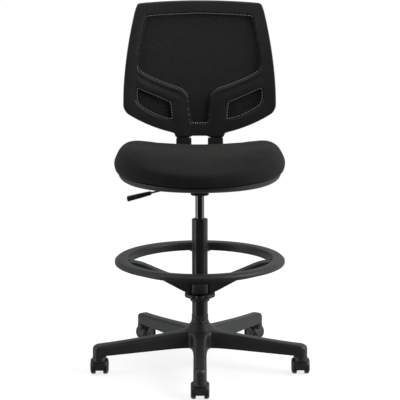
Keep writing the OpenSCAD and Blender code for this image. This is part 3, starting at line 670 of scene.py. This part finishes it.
def buildFootRing():
    k = ringLook
    low, high = boxOf("foot_ring")
    o, i, z, bottom = k["outer"], k["inner"], high[2], low[2]
    rim = softCorners([(o - 3, z - 15.6), (o, z - 15.6), (o, z - 7.2), (o - 2.4, z - 6.2), (o - 3.4, z - 4.2),
                       (o - 7.5, z - 0.8), (o - 13, z), (i + 20, z), (i + 5, z - 0.7), (i + 0.8, z - 3.2),
                       (i, z - 8), (i, z - 28.5), (i + 3.4, z - 28.5), (i + 4, z - 6.5),
                       (i + 10, z - 4.6), (o - 12, z - 4.6), (o - 7, z - 8)], 1.5, 4)
    parts = [turned(rim * mm, 200)]
    hub = softCorners([(k["bore"], bottom), (k["hub"], bottom), (k["hub"], bottom + 41),
                       (k["hub"] - 2, bottom + 43), (k["bore"], bottom + 43)], 0.8, 3)
    parts.append(turned(hub * mm, 96))
    # a spoke is a flat-topped rounded bar whose top and underside follow bent lines up to the ring,
    # widest where it meets it
    r = np.linspace(k["bore"] + 2, i + 6, 48)
    top = [(28, z - 75), (57, z - 71), (122, z - 45), (180, z - 20), (204, z - 14), (240, z - 12)]
    top = softLine(top, r, 12)
    under = softLine([(28, bottom + 3), (46, bottom + 3), (188, z - 34), (240, z - 33)], r, 9)
    half = k["spokeHalf"] + 12 * np.exp(-(i - r).clip(0) / 7) + 3 * np.exp(-(r - 34).clip(0) / 9)
    section = squircle(1, 1, 5.5, 48)
    v = section[None, :, 0] * half[:, None]
    h = (top + under)[:, None] / 2 + section[None, :, 1] * (top - under)[:, None] / 2
    u = np.broadcast_to(r[:, None], v.shape)
    for turn in range(4):
        c, s = math.cos(turn * tau / 4), math.sin(turn * tau / 4)
        parts.append(lofted(np.stack([u * c - v * s, u * s + v * c, h], -1) * mm))
    piece = makePiece("footRing", parts, "foot_ring", ["foot_ring"], 40)
    dress(piece, "ring_nylon")


# a broken line of (place, height) evaluated along a run and smoothed by a moving average
def softLine(corners, run, width):
    x, y = np.array(corners, float).T
    spread = np.linspace(-width, width, 13)
    return np.interp(run[:, None] + spread, x, y).mean(1)


buildFootRing()


# the lock: a tapered barrel split at four places, and a flange whose edge is scalloped by ten rounded bites
def buildRingLock():
    low, high = boxOf("ring_lock")
    z0, z1, steps = low[2], high[2], 288
    a = np.arange(steps) * tau / steps
    bite = 2.6 * (0.5 - 0.5 * np.cos(10 * a + tau / 2)) ** 3
    split = 2.0 * np.exp(-((np.abs((a * 4 / tau + 0.5) % 1 - 0.5) * tau / 4 * 30 / 1.1) ** 2))
    outline = softCorners([(27.6, z0 + 0.2), (29.2, z0 + 0.2), (30.2, z0 + 1.2), (31.2, z0 + 7),
                           (33.5, z0 + 11), (37, z0 + 12.6), (46.5, z0 + 14), (48.9, z0 + 16),
                           (48.9, z1 - 2.4), (47.6, z1 - 0.2), (27.6, z1 - 0.2)], 1.2, 4)
    r, z = outline.T
    share = np.clip((r - 34) / 15, 0, 1) ** 2
    gap = ((r > 28.6) & (r < 32.4) & (z < z0 + 9)).astype(float)
    radius = r[:, None] - share[:, None] * bite - gap[:, None] * split
    piece = makePiece("ringLock", [turnedBy(radius * mm, z * mm)], "ring_lock", ["ring_lock"],
                      40)
    dress(piece, "ring_nylon")


buildRingLock()
print("foot ring made")


# ---- seat bracket and lever

leverLook = {"pivot": (-20 * mm, 0, 586 * mm), "slope": 14, "length": 212, "paddle": 78, "thick": 5.4}


# rounded plate as a loft: superellipse sections whose width and thickness ease along the length
def buildPaddle():
    k = leverLook
    u = 0.5 - 0.5 * np.cos(np.linspace(0, 1, 40) * math.pi)
    swell = (1 - np.abs(2 * u - 1) ** 50) ** (1 / 3)
    half = (12.5 + 5.5 * np.clip((u - 0.05) / 0.4, 0, 1)) * np.maximum(swell, 0.02)
    thick = (k["thick"] + 2.2 * u) * np.maximum(swell, 0.02)
    scoop = 1.2 * np.exp(-((u - 0.62) / 0.22) ** 2)
    ring = squircle(1, 1, 4.6, 48)
    along = -(k["length"] - k["paddle"] + u * k["paddle"])
    v = ring[None, :, 0] * half[:, None]
    w = ring[None, :, 1] * thick[:, None]
    w = w + np.where(w > 0, 0, 1) * scoop[:, None] * np.clip(1 - (v / 14) ** 2, 0, 1)
    local = np.stack([np.broadcast_to(along[:, None], v.shape), v, w], -1) * mm
    s = math.radians(k["slope"])
    turn = np.array([[math.cos(s), 0, -math.sin(s)], [0, 1, 0], [math.sin(s), 0, math.cos(s)]])
    piece = makePiece("leverPaddle", [lofted(local @ turn.T + np.array(k["pivot"]))], "lever",
                      ["lever_paddle"], 50)
    dress(piece, "lever_plastic")


# pressed bracket: superellipse sections that narrow downwards, with a rolled lower lip and a top flange
def buildBracket():
    levels = np.array([(547.2, 15.2, 2), (547.2, 24, 3.2), (547.9, 26.4, 3.8), (549.8, 28, 4.4),
                       (553, 28.7, 5), (565, 28.9, 6), (584, 29, 7), (587.4, 29.2, 7), (589, 31, 6), (590.9, 31.4, 6)])
    inside = [(590.9, 26, 6), (581, 25.6, 5), (580.5, 14.6, 2), (547.2, 14.6, 2)]
    rings = [np.column_stack([squircle(w, w, n, 96), np.full(96, z)]) for z, w, n in [*levels, *inside]]
    rings = np.stack(rings) * mm
    points = rings.reshape(-1, 3)
    piece = makePiece("seatBracket", [(points, gridFaces(len(rings), 96, True, True))], "seat",
                      ["seat_bracket"], 40)
    dress(piece, "bracket_paint")


buildPaddle()
buildBracket()
print("bracket and lever made")


# ---- seat

seatLook = {"width": 528.0, "front": 255.0, "rear": 230.0, "middle": 30.0}


# plan of the seat: superellipse halves of different roundness in front and behind
def seatPlan(inset, steps=200):
    k = seatLook
    a = np.arange(steps) * tau / steps
    c, s = np.cos(a), np.sin(a)
    power = np.where(s < 0, 2 / 2.1, 2 / 3.6)
    reach = np.where(s < 0, k["front"] + k["middle"] - inset, k["rear"] - k["middle"] - inset)
    x = (k["width"] / 2 - inset) * np.sign(c) * np.abs(c) ** power
    return np.column_stack([x, k["middle"] + reach * np.sign(s) * np.abs(s) ** power])


def seamHeight(x):  # the cushion's lower seam rises to the sides
    return 602 + 12 * (x / 250) ** 2


cushionLook = {"waist": 648.0, "shrink": -1.8, "side": 62.0, "nose": 96.0, "heel": 48.0, "under": 611.5,
               "voxel": 0.006, "pressure": 4.0, "cap": 0.004}


# height of the cushion's top: raised at the sides, dipped in the middle behind, rolled down in front
def crestHeight(x, y):
    side = np.clip(np.abs(x) / 205, 0, 1.25)
    dip = 6 * np.clip((y - 70) / 130, 0, 1.3) ** 1.6 * (1 - 0.7 * np.minimum(side, 1) ** 2)
    z = 686.5 + 13.5 * side ** 2.2 - dip
    return z - 26 * np.clip((-y - 60) / 195, 0, 1) ** 1.8 - 6 * np.clip((-y - 20) / 235, 0, 1)


# rings out from the middle over the top, down in a quarter of a superellipse to the waist, whose depth
# inwards changes from side to nose and heel, on down to the seam, and in underneath
def cushionForm():
    k = cushionLook
    steps = 220
    centre = np.array([0, seatLook["middle"]])
    rim = seatPlan(k["shrink"], steps)
    out = rim - centre
    reach = np.linalg.norm(out, axis=1)
    ahead, behind = np.clip(-out[:, 1] / reach, 0, 1), np.clip(out[:, 1] / reach, 0, 1)
    deep = k["side"] + (k["nose"] - k["side"]) * ahead ** 1.5 + (k["heel"] - k["side"]) * behind ** 1.5
    waist = k["waist"] - 8 * ahead ** 2
    rings = []
    for f in 1 - np.linspace(1, 0, 22)[:-1] ** 1.2:
        xy = centre + out * (f * (1 - deep / reach))[:, None]
        rings.append(np.column_stack([xy, crestHeight(*xy.T)]))
    for angle in np.linspace(90, 0, 22):
        c, s = math.cos(math.radians(angle)) ** 0.86, math.sin(math.radians(angle)) ** 0.86
        xy = centre + out * (1 - deep * (1 - c) / reach)[:, None]
        rings.append(np.column_stack([xy, waist + (crestHeight(*xy.T) - waist) * s]))
    tuck = 13 + 4 * ahead ** 2
    low = seamHeight(rim[:, 0]) + 0.5
    for angle in np.linspace(6, 84, 14):
        c, t = 1 - math.cos(math.radians(angle)), math.sin(math.radians(angle)) ** 0.9
        xy = centre + out * (1 - tuck * c / reach)[:, None]
        rings.append(np.column_stack([xy, waist + (low - waist) * t]))
    below = seatPlan(k["shrink"] + 9, steps) - centre
    for f in np.linspace(0.96, 0.05, 12):
        rings.append(np.column_stack([centre + below * f, np.full(steps, k["under"])]))
    return [lofted(np.array(rings) * mm)]


def meshOf(piece):
    return bpy.data.meshes.new_from_object(piece.evaluated_get(bpy.context.evaluated_depsgraph_get()))


def pointsOf(mesh):
    co = np.zeros(len(mesh.vertices) * 3, np.float32)
    mesh.vertices.foreach_get("co", co)
    return co.reshape(-1, 3).astype(float)


# even mesh, swollen as cloth under pressure with its underside held, each point's travel limited
def plump(piece, look):
    remesh = piece.modifiers.new("even", "REMESH")
    remesh.mode, remesh.voxel_size = "VOXEL", look["voxel"]
    even = meshOf(piece)
    piece.modifiers.clear()
    piece.data = even
    start = pointsOf(even)
    held = piece.vertex_groups.new(name="held")
    weight = np.clip((0.632 - start[:, 2]) / 0.014, 0, 1)
    for level in range(1, 9):
        held.add(np.nonzero(np.ceil(weight * 8) == level)[0].tolist(), level / 8, "REPLACE")
    cloth = piece.modifiers.new("swell", "CLOTH")
    cloth.settings.use_pressure = True
    cloth.settings.uniform_pressure_force = look["pressure"]
    cloth.settings.effector_weights.gravity = 0
    cloth.settings.vertex_group_mass = "held"
    cloth.settings.tension_stiffness = cloth.settings.compression_stiffness = 12
    cloth.settings.bending_stiffness = 1.2
    cloth.settings.quality = 4
    scene = bpy.context.scene
    for number in range(1, 21):
        scene.frame_set(number)
    swollen = meshOf(piece)
    end = pointsOf(swollen)
    travel = end - start
    far = np.linalg.norm(travel, axis=1)
    travel *= (look["cap"] * np.tanh(far / look["cap"]) / np.maximum(far, 1e-9))[:, None]
    piece.modifiers.clear()
    piece.vertex_groups.clear()
    scene.frame_set(1)
    even.vertices.foreach_set("co", (start + travel).astype(np.float32).ravel())
    even.update()
    print("cushion swollen by up to %.1f mm" % (np.linalg.norm(travel, axis=1).max() * 1000))


def buildCushion():
    piece = makePiece("seatCushion", cushionForm(), "seat", ["seat_cushion"], 180)
    plump(piece, cushionLook)
    piece.data.polygons.foreach_set("use_smooth", np.ones(len(piece.data.polygons), bool))
    smooth = piece.modifiers.new("relax", "SMOOTH")
    smooth.factor, smooth.iterations = 0.5, 16
    finer = piece.modifiers.new("finer", "SUBSURF")
    finer.levels = finer.render_levels = 1
    dress(piece, "seat_fabric")


panLook = {"flat": 594.1, "inside": 598.0, "bead": 585.4, "lip": 610.6, "inset": 60}


# the pan: rings from under the middle, out and up its side to a rounded rim on the seam, and in again
# over a lip to the floor of the pan
def buildPan():
    k = panLook
    steps = 240
    centre = np.array([0, seatLook["middle"]])
    rimHeight = seamHeight(seatPlan(12, steps)[:, 0])
    lip = np.minimum(rimHeight + 6.5, k["lip"])
    rings = []

    def ring(inset, height, share=1.0):
        xy = centre + (seatPlan(inset, steps) - centre) * share
        rings.append(np.column_stack([xy, np.full(steps, 0.0) + height]))

    for share in np.linspace(0.03, 0.8, 10):
        ring(k["inset"], k["flat"], share)
    for share, drop in ((0.82, 0.9), (0.87, 2.8), (0.93, 6.0), (1.0, 8.6)):
        ring(k["inset"], k["flat"] - drop, share)
    for t in np.linspace(0.05, 1, 16):
        height = k["bead"] + (rimHeight - k["bead"]) * (1 - math.cos(t * math.pi / 2)) ** 0.9
        ring(k["inset"] - 48.6 * math.sin(t * math.pi / 2) ** 0.95, height)
    for inset, height in ((11.2, rimHeight + 1.2), (12.0, rimHeight + 2.2), (13.4, rimHeight + 2.3),
                          (15.6, np.minimum(rimHeight + 2.0, lip)), (18.6, lip - 0.4), (20.2, lip),
                          (21.6, lip - 1.2)):
        ring(inset, height)
    for t in np.linspace(0.1, 1, 8):
        ring(21.9 + 38 * t ** 1.3, k["inside"] + (lip - 2 - k["inside"]) * (1 - t) ** 1.4)
    for share in np.linspace(0.95, 0.03, 8):
        ring(k["inset"], k["inside"], share)
    piece = makePiece("seatPan", [lofted(np.array(rings) * mm)], "seat", ["seat_pan"], 45)
    dress(piece, "pan_plastic")


buildCushion()
buildPan()
print("seat made")


# ---- back

backLook = {"foot": 250.0, "wrap": 1500.0, "halfThick": 7.8, "edge": 2.6, "crown": 0.5, "relief": 0.5,
            "cell": 2.0}


# middle surface: rises with a slope and a square term, wrapped round a vertical axis in front
def backY(x, z):
    k = backLook
    bow = 0.05 * (z - 709) + (z - 709) ** 2 / 3400
    return k["foot"] - k["wrap"] + np.sqrt((k["wrap"] + bow) ** 2 - x ** 2)


def mirrored(right):  # a right half that starts and ends on the middle line, made whole
    right = np.array(right, float)
    left = right[::-1] * [-1, 1]
    return np.vstack([right, left[1:-1] if abs(right[0, 0]) < 1e-9 else left])


def backOutline():
    x = np.linspace(96, 214, 10)
    z = np.linspace(818, 1112, 14)
    top = np.linspace(186, 0, 9)
    skirt, side = zip(x, 705.2 + 60 * (x / 216) ** 2), zip(251 - 46 * ((z - 815) / 331) ** 1.8, z)
    right = [(27, 704), (30.5, 699.6), (80.6, 699.6), (82.5, 713), *skirt, (240, 780), (250.8, 799),
             *side, (204, 1137), *list(zip(top, 1147.2 - 9 * (top / 196) ** 2))[:-1]]
    return softCorners(mirrored(right), 9, 5)


upperRight = [(0, 744), (26, 744), (30, 750), (35, 794), (38, 836), (57, 856), (107, 873), (162, 896),
              (200, 918), (202.5, 950), (197, 1011), (188, 1052), (177, 1098), (120, 1103), (0, 1108)]
lowerRight = [(93, 816), (207.5, 866), (208.5, 818), (192, 799), (166, 784), (141, 771), (112, 761.5),
              (87, 757)]
upperOpening = softCorners(mirrored(upperRight), 9, 5)
lowerOpening = softCorners(lowerRight, [7, 8, 14, 12, 12, 12, 12, 6], 5)
outerOutline = backOutline()
frameOutlines = [outerOutline * mm, upperOpening * mm, lowerOpening * mm, lowerOpening * [-mm, mm]]


# extra height of the front: a raised lip, a hollow and a roll across each arm, and a roll on each post
def armRelief(x, z):
    ax = np.abs(x)
    upper = np.interp(ax, [38, 57, 107, 162, 200, 230], [838, 856, 873, 896, 918, 934])
    lower = np.interp(ax, [60, 93, 207, 235], [801, 816, 866, 878])
    s = (upper - z) / (upper - lower)
    across = sum(height * np.exp(-((s - at) / wide) ** 2) for height, at, wide in
                 ((1.3, 0.13, 0.07), (-2.6, 0.33, 0.12), (2.8, 0.7, 0.17)))
    along = smoothStep((ax - 46) / 34) * smoothStep((212 - ax) / 16)
    postIn = np.interp(z, [699, 750, 794, 838], [29, 30, 35, 38])
    postOut = np.interp(z, [699, 757, 816, 850], [82, 87, 93, 97])
    q = (ax - postIn) / (postOut - postIn)
    roll = 2.4 * np.sin(np.clip(q, 0, 1) * math.pi) ** 1.5 * np.clip((835 - z) / 45, 0, 1)
    return across * along + roll


def buildBackFrame():
    k = backLook
    flat, depth, faces = cutGrid(outlineField(frameOutlines), (-0.252, 0.6985), (0.252, 1.150),
                                 k["cell"] * mm)
    outer = outlineField([outerOutline * mm])(flat) / mm
    x, z = flat.T / mm
    d = depth / mm
    front = k["halfThick"] - edgeFall(d, k["edge"], k["halfThick"], 2.4)
    away = smoothStep(d / 9)
    border = np.clip(1 - ((outer - 19) / 19) ** 2, 0, 1) * smoothStep((z - 730) / 60)
    front = front + away * (k["crown"] * border + k["relief"] * armRelief(x, z)) - 0.2
    rear = k["halfThick"] - edgeFall(d, 2.6, k["halfThick"], 2.6)
    y = backY(x, z)
    upper, lower = np.column_stack([x, y - front, z]) * mm, np.column_stack([x, y + rear, z]) * mm
    piece = makePiece("backFrame", slab(upper, lower, faces), "seat", ["back_frame"], 60,
                      1e-5)
    dress(piece, "frame_plastic")
    return piece


# distance to, and run along, the nearest point of closed outlines, for the gaps along the openings
def edgeRun(points, outlines):
    best, run = np.full(len(points), 1e9), np.zeros(len(points))
    for loop in outlines:
        b = np.roll(loop, -1, 0)
        edge = b - loop
        long = np.linalg.norm(edge, axis=1)
        begun = np.cumsum(long) - long
        for s in range(0, len(points), 3000):
            p = points[s:s + 3000, None]
            t = np.clip(((p - loop) * edge).sum(-1) / long ** 2, 0, 1)
            gap = np.linalg.norm(p - loop - t[..., None] * edge, axis=-1)
            pick = gap.argmin(1)
            rows = np.arange(len(pick))
            nearer = gap[rows, pick] < best[s:s + 3000]
            best[s:s + 3000] = np.where(nearer, gap[rows, pick], best[s:s + 3000])
            run[s:s + 3000] = np.where(nearer, begun[pick] + t[rows, pick] * long[pick], run[s:s + 3000])
    return best, run


# how level the nearest edge is, from the direction in which the distance grows: 1 level, 0 upright
def slopeAt(flat):
    field = outlineField([upperOpening * mm])
    step = 0.5 * mm
    across = field(flat + [step, 0]) - field(flat - [step, 0])
    up = field(flat + [0, step]) - field(flat - [0, step])
    return np.abs(up) / np.maximum(np.hypot(across, up), 1e-9)


# the knitted panel: one sheet behind the frame, a little inside its border, given a thin thickness
def buildBackMesh():
    field = outlineField([outerOutline * mm])
    flat, depth, faces = cutGrid(lambda p: np.minimum(field(p) - 29 * mm, p[:, 1] - 0.722),
                                 (-0.23, 0.72), (0.23, 1.12), 3.0 * mm)
    x, z = flat.T / mm
    sheet = np.column_stack([x, backY(x, z) + 8.5, z]) * mm
    piece = makePiece("backMesh", [(sheet, faces)], "seat", ["back_mesh"], 180, 0)
    inOpening = outlineField([upperOpening * mm])(flat)
    inLower = np.maximum(*[outlineField([lowerOpening * [side, mm]])(flat) for side in (mm, -mm)])
    gap, run = edgeRun(flat, frameOutlines[1:])
    gap = np.where(np.maximum(inOpening, inLower) > 0, gap, -gap)
    # painted light: the rim gaps open most along level edges of the upper opening and along the lower openings,
    # standing in for light seen through there
    litShow = np.where(inLower > inOpening, 0.85, 0.25 + 0.75 * slopeAt(flat))
    for title, values in (("edgeGap", gap), ("edgeRun", run), ("edgeLitShow", litShow)):
        attribute = piece.data.attributes.new(title, "FLOAT", "POINT")
        attribute.data.foreach_set("value", values.astype(np.float32))
    thick = piece.modifiers.new("thread", "SOLIDIFY")
    thick.thickness, thick.offset = 0.7 * mm, 0
    dress(piece, "mesh_fabric")


# the rear retaining frame: the border of the outline again, between two distances from its edge
def buildRetainer():
    field = outlineField([outerOutline * mm])

    def band(p):
        d = field(p)
        return np.minimum(np.minimum(d - 5.2 * mm, 33.8 * mm - d), p[:, 1] - 0.7302)
    flat, depth, faces = cutGrid(band, (-0.25, 0.7), (0.25, 1.145), 2.4 * mm)
    x, z = flat.T / mm
    d = depth / mm
    y = backY(x, z)
    rear = 14.7 - edgeFall(d, 3.0, 3.2, 2.2) - 0.9 * np.exp(-((d - 8) / 1.6) ** 2)
    upper, lower = np.column_stack([x, y + rear, z]) * mm, np.column_stack([x, y + 9.4, z]) * mm
    piece = makePiece("backRetainer", slab(upper, lower, faces), "seat", ["back_retainer"],
                      50, 1e-5)
    dress(piece, "frame_plastic")


# a flat bar swept along a bent line: straight under the seat, a quarter turn, then up the back's surface
barLook = {"x": 55.4, "start": 95.0, "underside": 591.0, "bend": 28.0, "top": 786.0, "width": 40.0,
           "thick": 6.0}


def buildBars():
    k = barLook
    foot = float(backY(k["x"], 709.0))
    turn = np.radians(np.linspace(-90, 0, 14))
    high = np.linspace(640, k["top"], 22)
    middle = foot - k["bend"]
    lineY = np.concatenate([np.linspace(k["start"], middle - 4, 8), middle + k["bend"] * np.cos(turn),
                            backY(k["x"], np.maximum(high, 709))])
    lineZ = np.concatenate([np.full(8, k["underside"]), k["underside"] + k["bend"] + k["bend"] * np.sin(turn),
                            high])
    line = np.column_stack([lineY, lineZ])
    along = np.gradient(line, axis=0)
    along /= np.linalg.norm(along, axis=1)[:, None]
    across = np.column_stack([-along[:, 1], along[:, 0]])
    corners = np.array([(-1, -1), (1, -1), (1, 1), (-1, 1)]) * [k["width"] / 2, k["thick"] / 2]
    section = softCorners(corners, 1.4, 5)
    for side, word in ((-1, "Left"), (1, "Right")):
        place = line[:, None] + across[:, None] * section[None, :, 1:2]
        x = np.broadcast_to(side * k["x"] + section[None, :, 0], place.shape[:2])
        rings = np.stack([x, place[..., 0], place[..., 1]], -1) * mm
        piece = makePiece("backBar" + word, [lofted(rings)], "seat", ["back_bar_" + word.lower()],
                          40)
        dress(piece, "bracket_paint")


# sleeves: superellipse sections that narrow a little upwards, with a rolled edge at both ends
def buildSleeves():
    low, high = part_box("bar_sleeve_left")
    z0, z1 = low.z / mm, high.z / mm
    y = (low.y + high.y) / 2 / mm
    t = np.array([0, 0.012, 0.035, 0.07, 0.5, 0.9, 0.95, 0.975, 0.992, 1.0])
    grow = np.array([-2.2, -0.8, -0.15, 0, 0.0, 0, -0.3, -0.9, -1.7, -2.6])
    for side, word in ((-1, "Left"), (1, "Right")):
        outer = [np.column_stack([squircle(25.7 + g * 0.6 - 0.2 * u, 6.8 + g * 0.6, 5.0, 72),
                                  np.full(72, z0 + (z1 - z0) * u)]) for u, g in zip(t, grow)]
        inner = [np.column_stack([squircle(20.4, 3.4, 8, 72) + [side * 3, 0], np.full(72, z)])
                 for z in (z1, z0)]
        rings = np.array(outer + inner) + [side * (barLook["x"] - 3), y, 0]
        points = (rings * mm).reshape(-1, 3)
        piece = makePiece("barSleeve" + word, [(points, gridFaces(len(rings), 72, True, True))], "seat",
                          ["bar_sleeve_" + word.lower()], 40)
        dress(piece, "frame_plastic")


buildBackFrame()
buildBackMesh()
buildRetainer()
buildBars()
buildSleeves()
print("back made")


# ---- camera, floor and light

cameraLook = {"aside": 0.0008, "roll": -0.1, "distance": 3.346, "height": 1.095, "pitch": 9.57, "lens": 98.15}
camera = bpy.data.objects.new("camera", bpy.data.cameras.new("camera"))
bpy.context.scene.collection.objects.link(camera)
camera.location = (cameraLook["aside"], -cameraLook["distance"], cameraLook["height"])
camera.rotation_euler = (Matrix.Rotation(math.radians(90 - cameraLook["pitch"]), 3, "X")
                         @ Matrix.Rotation(math.radians(cameraLook["roll"]), 3, "Z")).to_euler()
camera.data.lens, camera.data.sensor_width = cameraLook["lens"], 36
camera.data.clip_end = 200
bpy.context.scene.camera = camera
bpy.context.scene.view_settings.view_transform = "Standard"


# floor: a disc that fades out before its edge, so that it has no horizon
def buildFloor():
    a = np.arange(96) * tau / 96
    r = np.linspace(0.05, 6, 40)
    points = np.stack([np.outer(r, np.cos(a)), np.outer(r, np.sin(a)), np.zeros((40, 96))], -1).reshape(-1, 3)
    points = np.vstack([points, [[0, 0, 0]]])
    j = np.arange(96)
    cap = np.stack([j, np.roll(j, -1), np.full(96, len(points) - 1)], -1)
    floor = makePiece("floor", [(points, [gridFaces(40, 96, False, True), cap])], None)
    f = Finish("paleFloor")
    here = f.place()
    x, y, z = f.axes(here)
    far = ((x * x + y * y) ** 0.5).between(1.2, 4.5)
    diffuse = f.add("ShaderNodeBsdfDiffuse", sockets={"Color": (0.3, 0.3, 0.298, 1)})
    lit = f.add("ShaderNodeEmission", sockets={"Color": (1, 1, 0.995, 1), "Strength": 0.8})
    pale = f.add("ShaderNodeAddShader", sockets={0: diffuse, 1: lit})
    clear = f.add("ShaderNodeBsdfTransparent")
    mix = f.add("ShaderNodeMixShader", sockets={0: far, 1: pale, 2: clear})
    f.add("ShaderNodeOutputMaterial", sockets={"Surface": mix})
    floor.data.materials.append(f.material)
    floor.visible_glossy = False


buildFloor()
lampLook = {
    "key": {"at": (3.4, -1.5, 2.3), "to": (0, 0, 0.7), "size": (2.2, 2.4), "power": 120},
    "fill": {"at": (-2.9, -1.8, 1.8), "to": (0, 0, 0.65), "size": (1.2, 1.8), "power": 14},
    "top": {"at": (0, 0.3, 3.6), "to": (0, 0, 0), "size": (3.4, 3.4), "power": 46},
}
for title, look in lampLook.items():
    lamp = bpy.data.lights.new(title, "AREA")
    lamp.shape, lamp.energy = "RECTANGLE", look["power"]
    lamp.size, lamp.size_y = look["size"]
    holder = bpy.data.objects.new(title, lamp)
    holder.location = look["at"]
    holder.rotation_euler = (Vector(look["to"]) - Vector(look["at"])).to_track_quat("-Z", "Y").to_euler()
    bpy.context.scene.collection.objects.link(holder)

# studio: white where the camera looks straight at it; to the chair it is dark in front, bright at the sides,
# less so behind and on the left, and has one brighter strip on the left that fades towards straight up
roomLook = {"front": 0.04, "side": 0.95, "below": 0.85, "from": 48, "to": 72, "dimBack": 0.45, "dimLeft": 0.3,
            "strip": 1.3, "stripAt": -70, "stripHalf": 11}
world = bpy.data.worlds.new("studio")
bpy.context.scene.world = world
w = Finish("studio", world)
x, y, z = w.axes(w.add("ShaderNodeTexCoord").out("Generated"))
azimuth = x.maths("ARCTAN2", x, y * -1.0) * (360 / tau)
side = azimuth.size().between(roomLook["from"], roomLook["to"])
side = side * (1 - azimuth.size().between(118, 150) * roomLook["dimBack"])
side = side * (1 - (azimuth * -1.0).between(70, 100) * roomLook["dimLeft"])
strip = 1 - (azimuth - roomLook["stripAt"]).size().between(roomLook["stripHalf"] * 0.6, roomLook["stripHalf"])
under = 1 - (z * -1.0).between(0.12, 0.4) * (1 - roomLook["below"])
strip = strip * roomLook["strip"] * (1 - z.size().between(0.45, 0.75))
glow = roomLook["front"] + under * side * (roomLook["side"] - roomLook["front"]) + strip
dim = w.add("ShaderNodeBackground", sockets={"Color": (0.95, 0.98, 1.0, 1), "Strength": glow})
bright = w.add("ShaderNodeBackground", sockets={"Color": (1, 1, 1, 1), "Strength": 1.0})
seen = w.add("ShaderNodeLightPath").out("Is Camera Ray")
studio = w.add("ShaderNodeMixShader", sockets={0: seen, 1: dim, 2: bright})
w.add("ShaderNodeOutputWorld", sockets={"Surface": studio})
print("stage set")
